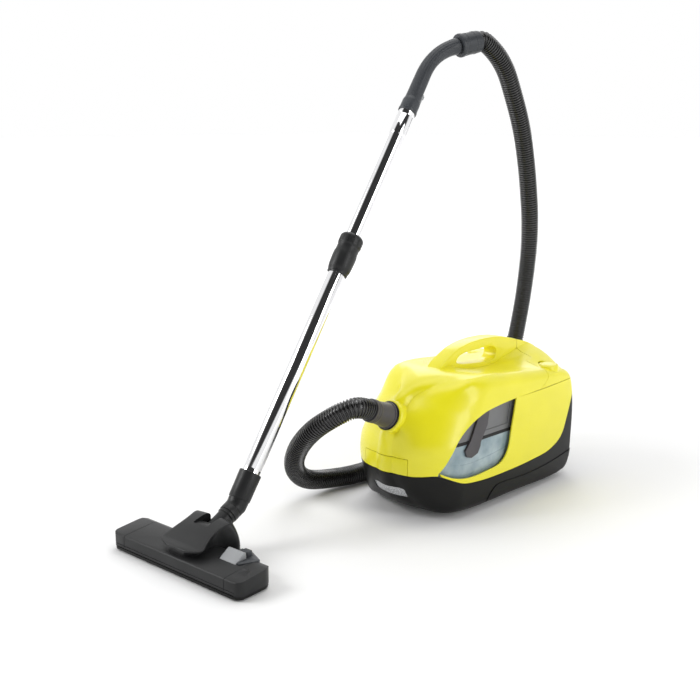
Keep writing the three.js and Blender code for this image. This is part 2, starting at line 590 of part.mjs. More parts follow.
// ---------------------------------------------------------------- handle
const wandTop = alongWand(WAND_TOP + GAP);
const STRAIGHT_GRIP = 101;             // straight part of the grip, then a smooth bend
const gripBend = new THREE.QuadraticBezierCurve3(
  new THREE.Vector3(...alongWand(WAND_TOP + STRAIGHT_GRIP)),
  new THREE.Vector3(...alongWand(WAND_TOP + GRIP_CORNER)),
  new THREE.Vector3(...HANDLE_END));
const handlePath = [wandTop, alongWand(WAND_TOP + 45), ...gripBend.getPoints(4).map((p) => p.toArray())];
const GRIP_R = 18;
const grip = union(
  tube(handlePath, GRIP_R, 12, 12, 14),
  onWand(ring(13.5, INNER_TUBE.r - INNER_TUBE.wall - 0.6, WAND_TOP - 35, WAND_TOP + 3, 12), 0),
  onWand(ring(15.6, INNER_TUBE.r + 3, WAND_TOP + GAP, WAND_TOP + 30, 12), 0),
  aim(ring(12, 16, -12, 40, 12), handleAxis, HANDLE_END),
);
const slotRoom = onWand(box(-7, 7, 16.4, 40, WAND_TOP + 32, WAND_TOP + 78), 0);
piece(machine, 'handle_grip', cut(grip, slotRoom), 'slate');
piece(machine, 'suction_slider', onWand(union(
  box(-6.6, 6.6, 16.8, 22, WAND_TOP + 33, WAND_TOP + 62),
  box(-6.6, 6.6, 21, 25, WAND_TOP + 52, WAND_TOP + 60)), 0), 'grey');
piece(machine, 'hose_collar', aim(lathe([
  [16.4, 3], [25.5, 3], [26.5, 6], [26.5, 12], [24.8, 14], [24.8, COLLAR_LENGTH - 4], [23.5, COLLAR_LENGTH],
  [16.4, COLLAR_LENGTH], [16.4, 3],
]), handleAxis, HANDLE_END), 'slate');

// ---------------------------------------------------------------- floor head
const head = new THREE.Group();
head.position.set(HEAD.x, HEAD.y, 0);
head.rotation.z = turn;
machine.add(head);

const toPivot = [0, PIVOT.v - BEND.v, PIVOT.z - BEND.z];
const stubLength = Math.hypot(toPivot[1], toPivot[2]);
const stubAxis = toPivot.map((c) => -c / stubLength);
const wandInHead = [0, Math.cos(rad(WAND_TILT)), Math.sin(rad(WAND_TILT))];
const atBend = (direction, solid) => aim(solid, direction, [0, BEND.v, BEND.z]);
const neckJoint = -26;
piece(head, 'nozzle_neck', cut(
  union(
    atBend(wandInHead, lathe([[0, 0], [20.5, 0], [21.5, 18], [22.5, NECK_TOP], [0, NECK_TOP]])),
    atBend(stubAxis, disc(20, neckJoint, 2)),
    toSolid(new THREE.SphereGeometry(20.4, 12, 8).rotateX(Math.PI / 2).translate(0, BEND.v, BEND.z)),
  ),
  atBend(wandInHead, disc(OUTER_TUBE.r + GAP, OUTER_START - GAP, NECK_TOP + 10)),
  atBend(wandInHead, disc(15.5, -2, OUTER_START + 5)),
  atBend(stubAxis, disc(15.5, neckJoint - 5, 4)),
), 'dark');
piece(head, 'nozzle_rocker', cut(
  union(
    atBend(stubAxis, disc(17, -stubLength + 4, neckJoint - GAP)),
    along.x(disc(19, -26, 26), [0, PIVOT.v, PIVOT.z]),
  ),
  atBend(stubAxis, disc(13, -stubLength - 30, neckJoint + 3)),
), 'dark');

const halfHead = HEAD.length / 2;
const HEAD_WALL = 2.6;
// Outline of the head's cover seen from its end, [v, z], and from above, [x, v].
const HEAD_SIDE = [[-46, 9], [-46, 33], [-42, 37.5], [28, 43], [42, 38], [44, 9]];
const HEAD_SIDE_INSIDE = [[-43.4, 0], [-43.4, 31.8], [-40.8, 34.6], [27.4, 40.2], [39.5, 36], [41.4, 0]];
function headPlan(inset) {
  const h = halfHead - inset;
  const f = -46 + inset;
  const r = 44 - inset;
  return [
    [-h, f + 12], [-h + 14, f], [h - 14, f], [h, f + 12],
    [h, r - 12], [h - 12, r], [-h + 26, r], [-h, r - 18],
  ];
}
const DOME_SIDE = [[-36, 22], [-36, 42], [-20, 52], [20, 70], [44, 78], [58, 79], [66, 70], [66, 22]];
const DOME_PLAN = [
  [-50, -36], [50, -36], [60, -14], [56, 30], [48, 66], [-48, 66], [-56, 30], [-60, -14],
];
const PEDAL = { x0: 68, x1: 118, lift: 3.5 };
const BRISTLES = { front: -41, rear: -38, half: 158, lift: 5 };
const HEAD_WHEEL = { x: 142, y: 24, radius: 9, half: 6 };

function headCover() {
  const slab = prism(HEAD_SIDE, 'x', -halfHead, halfHead).intersect(prism(headPlan(0), 'z', 0, 60));
  const dome = prism(DOME_SIDE, 'x', -60, 60).intersect(prism(DOME_PLAN, 'z', 0, 90));
  const slabRoom = prism(HEAD_SIDE_INSIDE, 'x', -halfHead + 3, halfHead - 3)
    .intersect(prism(headPlan(HEAD_WALL), 'z', -5, 60));
  const rockerRoom = along.x(disc(20.4, -27, 27), [0, PIVOT.v, PIVOT.z]);
  const stubSlot = prism(
    [[PIVOT.v, 24], [80, 24], [100, 60], [60, 110], [30, 110], [20, 60]], 'x', -19, 19);
  const pedalRoom = box(PEDAL.x0 - 1.4, PEDAL.x1 + 1.4, 2, 60, 22, 60);
  return cut(union(slab, dome), slabRoom, rockerRoom, stubSlot, pedalRoom);
}
piece(head, 'head_cover', headCover(), 'dark');

const headSides = [['left', -1], ['right', 1]];
function solePlate() {
  const plate = prism(headPlan(0.5), 'z', 3, 8.6);
  const mouth = box(-124, 124, -30, -12, 0, 12);
  const bristleSlot = box(-BRISTLES.half - 1, BRISTLES.half + 1,
    BRISTLES.front - 0.8, BRISTLES.rear + 0.8, 0, 12);
  const wheelParts = headSides.map(([, side]) => {
    const x = side * HEAD_WHEEL.x;
    const outer = HEAD_WHEEL.half + 3.4;
    return box(x - outer, x + outer, HEAD_WHEEL.y - 4, HEAD_WHEEL.y + 4, 3, 13);
  });
  const wheelRooms = headSides.map(([, side]) => {
    const x = side * HEAD_WHEEL.x;
    const inner = HEAD_WHEEL.half + 0.8;
    return box(x - inner, x + inner, HEAD_WHEEL.y - 10, HEAD_WHEEL.y + 10, 0, 20);
  });
  const pinRooms = headSides.map(([, side]) =>
    along.x(disc(2.3, -20, 20, 10), [side * HEAD_WHEEL.x, HEAD_WHEEL.y, HEAD_WHEEL.radius]));
  return cut(union(plate, ...wheelParts), mouth, bristleSlot, ...wheelRooms, ...pinRooms);
}
piece(head, 'head_sole_plate', solePlate(), 'black');
for (const [name, side] of headSides) {
  const place = [side * HEAD_WHEEL.x, HEAD_WHEEL.y, HEAD_WHEEL.radius];
  const { half, radius } = HEAD_WHEEL;
  piece(head, `head_wheel_${name}`, along.x(ring(2.3, radius, -half, half, 14), place), 'rubber');
  piece(head, `head_wheel_pin_${name}`, along.x(disc(2, -half - 3, half + 3, 10), place), 'steel');
}
piece(head, 'brush_strip', union(
  box(-BRISTLES.half, BRISTLES.half, -42.6, -34, 9, 12),
  box(-BRISTLES.half, BRISTLES.half, BRISTLES.front, BRISTLES.rear, 0.6, 10)), 'bristle');
piece(head, 'brush_pedal', prism(
  shiftUp([[6, 34], [9, 42], [38, 47], [58, 42], [58, 36], [46, 32], [14, 30]], PEDAL.lift),
  'x', PEDAL.x0, PEDAL.x1), 'grey');

export default model;
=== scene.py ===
import math

import bmesh
import bpy
import numpy as np
from mathutils import Matrix, Vector


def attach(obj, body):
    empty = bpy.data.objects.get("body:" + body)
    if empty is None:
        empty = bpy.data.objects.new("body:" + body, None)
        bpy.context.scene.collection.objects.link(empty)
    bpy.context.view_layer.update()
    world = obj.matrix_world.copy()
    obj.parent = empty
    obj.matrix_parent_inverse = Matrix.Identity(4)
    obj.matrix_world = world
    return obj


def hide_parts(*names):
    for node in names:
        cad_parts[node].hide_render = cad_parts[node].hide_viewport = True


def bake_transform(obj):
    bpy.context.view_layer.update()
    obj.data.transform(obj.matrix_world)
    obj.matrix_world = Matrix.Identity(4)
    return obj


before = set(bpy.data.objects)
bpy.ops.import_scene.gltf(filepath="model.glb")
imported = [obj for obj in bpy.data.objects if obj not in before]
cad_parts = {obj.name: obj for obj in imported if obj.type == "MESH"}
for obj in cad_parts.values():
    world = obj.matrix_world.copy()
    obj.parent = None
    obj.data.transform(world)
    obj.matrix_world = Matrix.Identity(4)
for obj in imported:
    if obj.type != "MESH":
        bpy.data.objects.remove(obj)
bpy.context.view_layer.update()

# ---------------------------------------------------------------- frames, in millimetres
MM = 0.001
ROW = Matrix.Translation((0.067, 0.238, 0)) @ Matrix.Scale(MM, 4)
rad = math.radians

# Floor head on the floor. BEND, the neck's corner, and PIVOT, the rocker's axle, are (y, z) in the head.
HEAD_PLACE = Vector((-92, -700, 0))
HEAD_TURN = rad(4)
BEND = (121, 86)
PIVOT = (36, 44)
# Along the wand: its top end, and from there the corner of the bent grip.
WAND_TILT = rad(54.5)
WAND_TOP = 925
GRIP_CORNER = 165
GRIP_REACH = 64
COLLAR_LENGTH = 58
CUFF_LENGTH = 62
# The hose inlet on the hood, and the direction of the grip's hose end.
INLET = Vector((0, -249, 220))
INLET_AXIS = Vector((0, -math.cos(rad(23)), math.sin(rad(23))))
HANDLE_AXIS = Vector((0.302, 0.930, 0.208))

IN_HEAD = Matrix.Translation(HEAD_PLACE) @ Matrix.Rotation(HEAD_TURN, 4, "Z")
WAND_SIDE = Vector((math.cos(HEAD_TURN), math.sin(HEAD_TURN), 0))
WAND_AXIS = Vector((
    -math.sin(HEAD_TURN) * math.cos(WAND_TILT),
    math.cos(HEAD_TURN) * math.cos(WAND_TILT),
    math.sin(WAND_TILT),
))
WAND_UP = WAND_AXIS.cross(WAND_SIDE)
BEND_POINT = IN_HEAD @ Vector((0, BEND[0], BEND[1]))
HANDLE_END = BEND_POINT + WAND_AXIS * (WAND_TOP + GRIP_CORNER) + HANDLE_AXIS * GRIP_REACH


def along_wand(distance):
    return BEND_POINT + WAND_AXIS * distance


def basis(side, up, axis, place):
    m = Matrix((side, up, axis)).transposed().to_4x4()
    m.translation = place
    return m


IN_WAND = basis(WAND_SIDE, WAND_UP, WAND_AXIS, BEND_POINT)


def aim(direction, place):
    """Turns +Z to the direction and puts the origin at the place."""
    turn = Vector((0, 0, 1)).rotation_difference(Vector(direction))
    m = turn.to_matrix().to_4x4()
    m.translation = Vector(place)
    return m


def vertical(x, y):
    return Matrix.Translation((x, y, 0))


def across(x, y, z):
    return aim((1, 0, 0), (x, y, z))


AT_INLET = aim(INLET_AXIS, INLET)
AT_HANDLE_END = aim(HANDLE_AXIS, HANDLE_END)


# ---------------------------------------------------------------- mesh helpers
def mesh_from(verts, faces):
    mesh = bpy.data.meshes.new("shape")
    mesh.from_pydata([tuple(v) for v in verts], [], faces)
    mesh.update()
    return mesh


def moved(mesh, matrix):
    mesh.transform(matrix)
    return mesh


def grid(rows, closed=False):
    """Quads between equal rings of points. Unless the rings close up, the two end rings are capped."""
    count, size = len(rows), len(rows[0])
    faces = []
    for i in range(count if closed else count - 1):
        a, b = i * size, ((i + 1) % count) * size
        faces += [(a + j, a + (j + 1) % size, b + (j + 1) % size, b + j) for j in range(size)]
    if not closed:
        faces.append(tuple(reversed(range(size))))
        faces.append(tuple(range((count - 1) * size, count * size)))
    return mesh_from([p for row in rows for p in row], faces)


def circle(radius, sides):
    turns = [2 * math.pi * k / sides for k in range(sides)]
    return [(radius * math.cos(a), radius * math.sin(a)) for a in turns]


def lathe(profile, sides=48, closed=False):
    """Turned about +Z. A closed profile is a ring section, an open one ends in flat caps."""
    return outward(grid([[(x, y, z) for x, y in circle(r, sides)] for r, z in profile], closed))


def rod(radius, low, high, sides):
    return lathe([(0, low), (radius, low), (radius, high), (0, high)], sides)


def tube(bore, radius, low, high, sides):
    return lathe([(bore, low), (radius, low), (radius, high), (bore, high)], sides, closed=True)


def outward(mesh):
    bm = bmesh.new()
    bm.from_mesh(mesh)
    bmesh.ops.remove_doubles(bm, verts=bm.verts, dist=1e-4)
    bmesh.ops.recalc_face_normals(bm, faces=bm.faces)
    bm.to_mesh(mesh)
    bm.free()
    return mesh


def prism(outline, axis, low, high):
    """An outline pushed along an axis: 'x' takes (y, z), 'y' takes (x, z), 'z' takes (x, y)."""
    place = {
        "x": lambda a, b, d: (d, a, b),
        "y": lambda a, b, d: (a, d, b),
        "z": lambda a, b, d: (a, b, d),
    }[axis]
    n = len(outline)
    verts = [place(a, b, low) for a, b in outline] + [place(a, b, high) for a, b in outline]
    faces = [tuple(range(n)), tuple(range(n, 2 * n))]
    faces += [(i, (i + 1) % n, n + (i + 1) % n, n + i) for i in range(n)]
    return outward(mesh_from(verts, faces))


def box(x0, x1, y0, y1, z0, z1):
    return prism([(x0, y0), (x1, y0), (x1, y1), (x0, y1)], "z", z0, z1)


def holder(mesh, name="shape"):
    obj = bpy.data.objects.new(name, mesh)
    bpy.context.scene.collection.objects.link(obj)
    return obj


def evaluated(obj):
    graph = bpy.context.evaluated_depsgraph_get()
    mesh = bpy.data.meshes.new_from_object(obj.evaluated_get(graph), depsgraph=graph)
    bpy.data.objects.remove(obj)
    return mesh


def solve(mesh, tool, operation):
    base, other = holder(mesh), holder(tool)
    m = base.modifiers.new("b", "BOOLEAN")
    m.operation = operation
    m.solver = "MANIFOLD"
    m.object = other
    result = evaluated(base)
    bpy.data.objects.remove(other)
    return result


def union(first, *others):
    for other in others:
        first = solve(first, other, "UNION")
    return first


def cut(first, *tools):
    for tool in tools:
        first = solve(first, tool, "DIFFERENCE")
    return first


def common(first, second):
    return solve(first, second, "INTERSECT")


def bevel(mesh, width, segments=2, angle=32):
    obj = holder(mesh)
    m = obj.modifiers.new("v", "BEVEL")
    m.width = width
    m.segments = segments
    m.limit_method = "ANGLE"
    m.angle_limit = rad(angle)
    return evaluated(obj)


def spline(points, steps, closed=False):
    """Centripetal Catmull-Rom curve through the points, steps pieces per span."""
    pts = [np.array(p, float) for p in points]
    n = len(pts)
    out = []
    spans = n if closed else n - 1
    for i in range(spans):
        p1, p2 = pts[i], pts[(i + 1) % n]
        p0 = pts[i - 1] if closed or i > 0 else 2 * p1 - p2
        p3 = pts[(i + 2) % n] if closed or i + 2 < n else 2 * p2 - p1
        gaps = [max(np.linalg.norm(b - a), 1e-8) ** 0.5 for a, b in ((p0, p1), (p1, p2), (p2, p3))]
        d0, d1, d2 = gaps
        t1 = ((p1 - p0) / d0 - (p2 - p0) / (d0 + d1) + (p2 - p1) / d1) * d1
        t2 = ((p2 - p1) / d1 - (p3 - p1) / (d1 + d2) + (p3 - p2) / d2) * d1
        for k in range(steps):
            t = k / steps
            out.append(p1 + t1 * t + (-3 * p1 + 3 * p2 - 2 * t1 - t2) * t * t
                       + (2 * p1 - 2 * p2 + t1 + t2) * t ** 3)
    if not closed:
        out.append(pts[-1])
    return out


def pairs(points, steps):
    return [(float(p[0]), float(p[1])) for p in spline(points, steps)]


def frames_along(path):
    """Two steady side directions at each point of a path."""
    path = [np.array(p, float) for p in path]
    tangents = []
    for i in range(len(path)):
        d = path[min(i + 1, len(path) - 1)] - path[max(i - 1, 0)]
        tangents.append(d / np.linalg.norm(d))
    side = np.cross(tangents[0], (0.0, 0.0, 1.0))
    if np.linalg.norm(side) < 0.1:
        side = np.cross(tangents[0], (1.0, 0.0, 0.0))
    rows = []
    for t in tangents:
        side = side - t * np.dot(side, t)
        side = side / np.linalg.norm(side)
        rows.append((side, np.cross(t, side)))
    return rows


def sweep(path, section):
    """section(i) gives the closed outline (side, up) at the i-th point of the path."""
    rows = []
    for i, (p, (side, up)) in enumerate(zip(path, frames_along(path))):
        rows.append([tuple(np.array(p, float) + side * a + up * b) for a, b in section(i)])
    return outward(grid(rows))


def smooth(t):
    t = min(max(t, 0.0), 1.0)
    return t * t * (3 - 2 * t)


# ---------------------------------------------------------------- materials
def shader(name):
    mat = bpy.data.materials.new(name)
    mat.use_nodes = True
    nodes = mat.node_tree.nodes
    return mat, mat.node_tree.links.new, nodes, nodes["Principled BSDF"]


def fill(node, values):
    for name, value in values.items():
        node.inputs[name].default_value = value


def noise(nodes, link, coords, scale, detail, stretch=None):
    source = coords.outputs["Object"]
    if stretch:
        mapping = nodes.new("ShaderNodeMapping")
        fill(mapping, {"Scale": stretch})
        link(source, mapping.inputs["Vector"])
        source = mapping.outputs["Vector"]
    tex = nodes.new("ShaderNodeTexNoise")
    fill(tex, {"Scale": scale, "Detail": detail})
    link(source, tex.inputs["Vector"])
    return tex.outputs["Fac"]


def remap(nodes, link, value, low, high, start, end, curve="LINEAR"):
    """A value from low to high becomes one from start to end."""
    node = nodes.new("ShaderNodeMapRange")
    node.interpolation_type = curve
    fill(node, {"From Min": low, "From Max": high, "To Min": start, "To Max": end})
    link(value, node.inputs["Value"])
    return node.outputs["Result"]


def tint(nodes, link, value, bsdf, first, last, ends=(0.3, 0.7)):
    """Base colour that runs from the first tone to the last while the value passes between the ends."""
    ramp = nodes.new("ShaderNodeValToRGB")
    for stop, place, tone in zip(ramp.color_ramp.elements, ends, (first, last)):
        stop.position = place
        stop.color = (*tone, 1)
    link(value, ramp.inputs["Fac"])
    link(ramp.outputs["Color"], bsdf.inputs["Base Color"])


def roughen(nodes, link, value, bsdf, strength, depth):
    bump = nodes.new("ShaderNodeBump")
    fill(bump, {"Strength": strength, "Distance": depth})
    link(value, bump.inputs["Height"])
    link(bump.outputs["Normal"], bsdf.inputs["Normal"])


def moulded(name, dark, light, roughness, grain=900.0, relief=0.05, blotch=14.0, coat=0.0,
            metallic=0.0, stretch=None, specular=0.5):
    """A moulded or drawn surface: soft tone drift, fine grain and uneven gloss."""
    mat, link, nodes, bsdf = shader(name)
    coords = nodes.new("ShaderNodeTexCoord")
    tint(nodes, link, noise(nodes, link, coords, blotch, 4.0), bsdf, dark, light)
    speck = noise(nodes, link, coords, grain, 2.0, stretch)
    link(remap(nodes, link, speck, 0.3, 0.7, *roughness), bsdf.inputs["Roughness"])
    roughen(nodes, link, speck, bsdf, relief, 0.0004)
    fill(bsdf, {"Metallic": metallic, "Specular IOR Level": specular, "Coat Weight": coat,
                "Coat Roughness": 0.12})
    return mat


MAT = {
    "yellow": moulded("yellow_shell", (0.80, 0.735, 0.012), (0.85, 0.78, 0.016), (0.26, 0.34), coat=0.2),
    "black": moulded("black_base", (0.0035, 0.0035, 0.0032), (0.0055, 0.0055, 0.005), (0.3, 0.4), relief=0.1,
                     specular=0.22),
    "dark": moulded("dark_grey", (0.011, 0.0115, 0.012), (0.016, 0.0165, 0.017), (0.34, 0.46), relief=0.12,
                    specular=0.3),
    "slate": moulded("slate_grey", (0.028, 0.031, 0.036), (0.04, 0.044, 0.05), (0.34, 0.46), relief=0.12,
                     specular=0.35),
    "violet": moulded("violet_grey", (0.047, 0.043, 0.047), (0.066, 0.061, 0.066), (0.34, 0.46), relief=0.12),
    "grey": moulded("light_grey", (0.27, 0.28, 0.29), (0.33, 0.34, 0.35), (0.35, 0.45), relief=0.1),
    "lid": moulded("lid_grey", (0.13, 0.133, 0.137), (0.16, 0.163, 0.167), (0.32, 0.42), relief=0.1),
    "hose": moulded("hose_black", (0.006, 0.006, 0.0058), (0.009, 0.009, 0.0087), (0.2, 0.3), relief=0.04,
                    specular=0.7),
    "chrome": moulded("chrome_tube", (0.80, 0.80, 0.81), (0.88, 0.88, 0.89), (0.04, 0.09), relief=0.02,
                      metallic=1.0, blotch=30.0),
    "steel": moulded("steel", (0.42, 0.42, 0.43), (0.52, 0.52, 0.53), (0.22, 0.36), relief=0.1, metallic=1.0),
    "silver": moulded("silver_inlay", (0.50, 0.51, 0.52), (0.60, 0.61, 0.62), (0.2, 0.3), relief=0.05,
                      metallic=0.7),
    "copper": moulded("copper_winding", (0.36, 0.13, 0.05), (0.5, 0.2, 0.08), (0.3, 0.45), grain=400.0,
                      relief=0.6, metallic=1.0, stretch=(1, 1, 6)),
    "rubber": moulded("rubber", (0.007, 0.007, 0.007), (0.011, 0.011, 0.011), (0.6, 0.8), relief=0.3),
    "board": moulded("circuit_board", (0.015, 0.11, 0.035), (0.03, 0.17, 0.06), (0.4, 0.6), blotch=120.0),
    "paper": moulded("filter_paper", (0.62, 0.6, 0.52), (0.74, 0.72, 0.65), (0.8, 0.95), relief=0.5),
    "bristle": moulded("bristle", (0.006, 0.006, 0.006), (0.012, 0.012, 0.012), (0.6, 0.85), relief=0.8,
                       grain=1500.0, stretch=(1, 1, 0.1)),
}


def tank_plastic():
    """Clear plastic with a cloudy film, which lets some of the light through."""
    mat, link, nodes, bsdf = shader("tank_plastic")
    tone = noise(nodes, link, nodes.new("ShaderNodeTexCoord"), 22.0, 4.0)
    tint(nodes, link, tone, bsdf, (0.30, 0.42, 0.47), (0.62, 0.74, 0.78), (0.3, 0.72))
    link(remap(nodes, link, tone, 0.3, 0.7, 0.08, 0.16), bsdf.inputs["Roughness"])
    roughen(nodes, link, tone, bsdf, 0.25, 0.002)
    fill(bsdf, {"Transmission Weight": 0.35, "IOR": 1.45, "Coat Weight": 0.5, "Coat Roughness": 0.06})
    return mat


MAT["tank"] = tank_plastic()

CAD_FINISH = {
    "black": ["base_shell", "hepa_cover", "head_sole_plate"],
    "yellow": ["body_shell", "hood", "rear_cover", "latch_flap", "power_button", "rewind_button"],
    "dark": ["fan_housing", "motor_casing", "cable_reel", "reel_bracket", "power_switch", "caster_fork",
             "inlet_socket", "wand_collar", "nozzle_neck", "nozzle_rocker", "head_cover"],
    "rubber": ["cord_gland", "tank_seal", "motor_mount", "rear_wheel_left", "rear_wheel_right",
               "caster_wheel", "inlet_seal", "head_wheel_left", "head_wheel_right"],
    "steel": ["hepa_cover_pin", "base_screw_1", "base_screw_2", "base_screw_3", "base_screw_4",
              "fan_impeller", "rotor_shaft", "reel_axle", "rear_axle_left", "rear_axle_right",
              "caster_axle", "head_wheel_pin_left", "head_wheel_pin_right"],
    "copper": ["motor_rotor"],
    "paper": ["hepa_filter"],
    "board": ["circuit_board"],
    "tank": ["water_tank"],
    "lid": ["tank_lid"],
    "violet": ["tank_handle", "hose_cuff"],
    "hose": ["suction_hose"],
    "chrome": ["wand_upper_tube", "wand_lower_tube"],
    "grey": ["wand_release_button", "suction_slider", "brush_pedal"],
    "slate": ["handle_grip", "hose_collar"],
    "bristle": ["brush_strip"],
}
for finish_name, names in CAD_FINISH.items():
    for node_name in names:
        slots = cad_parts[node_name].data.materials
        slots.clear()
        slots.append(MAT[finish_name])


def dressed(mesh, name, finish, sharp=32):
    """Shades a mesh that is already in the row frame, and links it."""
    mesh.name = name
    mesh.polygons.foreach_set("use_smooth", [True] * len(mesh.polygons))
    mesh.set_sharp_from_angle(angle=rad(sharp))
    mesh.materials.clear()
    mesh.materials.append(MAT[finish])
    return holder(mesh, name)


def piece(name, mesh, body, finish, stands_for=None, matrix=Matrix.Identity(4)):
    """Puts a mesh made in millimetres into the row frame and lets it ride its body."""
    mesh.transform(ROW @ matrix)
    obj = dressed(mesh, name, finish)
    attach(obj, body)
    if stands_for:
        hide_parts(stands_for)


# ---------------------------------------------------------------- camera
CAMERA_AT = Vector((1.4183, -1.5044, 0.8260))
VIEW_AZIMUTH = rad(44.4)
VIEW_TILT = rad(13)
back = Vector((math.sin(VIEW_AZIMUTH) * math.cos(VIEW_TILT),
               -math.cos(VIEW_AZIMUTH) * math.cos(VIEW_TILT), math.sin(VIEW_TILT)))
right = Vector((math.cos(VIEW_AZIMUTH), math.sin(VIEW_AZIMUTH), 0))
camera_data = bpy.data.cameras.new("camera")
camera_data.lens = 51.43
camera_data.sensor_width = 36
camera = bpy.data.objects.new("camera", camera_data)
camera.matrix_world = basis(right, back.cross(right), back, CAMERA_AT)
bpy.context.scene.collection.objects.link(camera)
bpy.context.scene.camera = camera

# ---------------------------------------------------------------- suction hose
ROUTE = [
    (0.0670, -0.0680, 0.2446), (0.0670, -0.0809, 0.2501), (0.0640, -0.1070, 0.2560),
    (0.0520, -0.1240, 0.2500), (0.0250, -0.1420, 0.2310), (-0.0110, -0.1530, 0.2020),
    (-0.0560, -0.1500, 0.1570), (-0.0910, -0.1340, 0.1100), (-0.1130, -0.1050, 0.0720),
    (-0.1250, -0.0620, 0.0430), (-0.1240, 0.0070, 0.0270), (-0.1110, 0.0830, 0.0230),
    (-0.1110, 0.1780, 0.0230), (-0.1250, 0.2780, 0.0230), (-0.1440, 0.3680, 0.0240),
    (-0.1430, 0.4380, 0.0380), (-0.1190, 0.5000, 0.0780), (-0.0850, 0.5500, 0.1350),
    (-0.0580, 0.5800, 0.2000), (-0.0450, 0.5970, 0.2670), (-0.0420, 0.6100, 0.3240),
    (-0.0400, 0.6240, 0.3980), (-0.0380, 0.6350, 0.5000), (-0.0350, 0.6300, 0.5770),
    (-0.0310, 0.6130, 0.6540), (-0.0270, 0.5900, 0.7320), (-0.0230, 0.5600, 0.8080),
    (-0.0210, 0.5200, 0.8820), (-0.0220, 0.4850, 0.9400), (-0.0270, 0.4510, 0.9760),
    (-0.0374, 0.4138, 1.0011), (-0.0404, 0.4045, 0.9990),
]
RIB_PITCH = 0.0060
# Share of one pitch and the radius there: valley, rise, crest and fall of one rib.
RIB_SECTION = [(0.0, 0.0188), (0.26, 0.0188), (0.38, 0.0209), (0.48, 0.0218), (0.6, 0.0220), (0.74, 0.0218),
               (0.86, 0.0209)]


def even_path(points, step):
    """The curve through the points again, at even distances along it."""
    fine = np.array(spline(points, 24))
    walked = np.concatenate([[0.0], np.cumsum(np.linalg.norm(np.diff(fine, axis=0), axis=1))])
    marks = np.linspace(0, walked[-1], int(walked[-1] / step) + 1)
    return np.stack([np.interp(marks, walked, fine[:, k]) for k in range(3)], axis=1)


hose_path = even_path(ROUTE, RIB_PITCH)
hose_frames = frames_along(hose_path)
hose_rows = []
for i in range(len(hose_path) - 1):
    side, up = hose_frames[i]
    side_next, up_next = hose_frames[i + 1]
    for share, radius in RIB_SECTION:
        centre = hose_path[i] + (hose_path[i + 1] - hose_path[i]) * share
        s = side * (1 - share) + side_next * share
        u = up * (1 - share) + up_next * share
        hose_rows.append([tuple(centre + s * a + u * b) for a, b in circle(radius, 28)])
hose = dressed(outward(grid(hose_rows)), "ribbed_hose", "hose", sharp=40)
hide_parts("suction_hose")
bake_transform(hose)

# ---------------------------------------------------------------- casing skin
# Edge line (y, z), centre line (y, z) and radius of the long edge, from the chin round over the top.
SKIN = [
    ((-192, 12), (-200, 12), 44), ((-229, 42), (-237, 40), 84), ((-256, 92), (-262, 92), 104),
    ((-258, 150), (-264, 150), 104), ((-236, 205), (-252, 203), 114), ((-192, 252), (-216, 254), 104),
    ((-140, 282), (-160, 286), 64), ((-80, 292), (-96, 296), 32), ((20, 284), (20, 279), 24),
    ((123, 272), (118, 279), 24), ((212, 262), (216, 299), 24), ((256, 244), (263, 288), 24),
    ((266, 200), (269, 210), 22), ((263, 100), (265, 100), 20), ((254, 32), (256, 30), 18),
    ((228, 12), (230, 12), 12), ((20, 12), (20, 12), 12),
]
# The line inside the casing that its walls face, and where the casing is widest.
HUB_Y, HUB_Z = 20, 140
WIDEST_Y, WIDEST_Z, WIDEST_HALF = 70, 110, 140
CENTRE_LIFT = 1.3
TOP_STEPS, FLANK_STEPS = 10, 7
WALL = 3
WIDE = 160
GAP = 1.3
RIDGE_HALF = 18
WHEEL_X, WHEEL_Y, WHEEL_R, WHEEL_HALF = 104, 196, 31, 10
WELL_GAP = 3
CASTER_Y, CASTER_R = -150, 19
CASTER_SPOT = across(0, -141, CASTER_R)
AT_GLAND = aim((0, 1, 0), (-100, 258, 52))
BUTTON_X, BUTTON_Y, BUTTON_TOP, BUTTON_R = 101, 190, 272, 21
FLAP_HALF, FLAP_TOP = 60, 138
HATCH_HALF, HATCH_BOTTOM, HATCH_TOP = 74, 72, 186


def half_width(y, z):
    return WIDEST_HALF - 0.00012 * (y - WIDEST_Y) ** 2 - 0.00035 * (z - WIDEST_Z) ** 2


def inwards(y, z, depth):
    """The point moved by a depth straight towards the hub line."""
    reach = math.hypot(y - HUB_Y, z - HUB_Z)
    k = (reach - depth) / reach
    return HUB_Y + (y - HUB_Y) * k, HUB_Z + (z - HUB_Z) * k


def half_ring(edge, centre, corner, inset):
    """From the middle of the casing out to its long edge, round that edge and down the flank to the hub."""
    half = half_width(*edge) - inset
    row = []
    for k in range(TOP_STEPS):
        share = k / TOP_STEPS
        y, z = edge + (centre - edge) * (1 - share ** 2) ** CENTRE_LIFT
        row.append(((half - corner) * share, *inwards(y, z, inset)))
    for angle in range(90, -1, -9):
        y, z = inwards(*edge, inset + corner * (1 - math.sin(rad(angle))))
        row.append((half_width(y, z) - inset - corner * (1 - math.cos(rad(angle))), y, z))
    _, y0, z0 = row[-1]
    for k in range(1, FLANK_STEPS):
        y, z = y0 + (HUB_Y - y0) * k / FLANK_STEPS, z0 + (HUB_Z - z0) * k / FLANK_STEPS
        row.append((half_width(y, z) - inset, y, z))
    return row


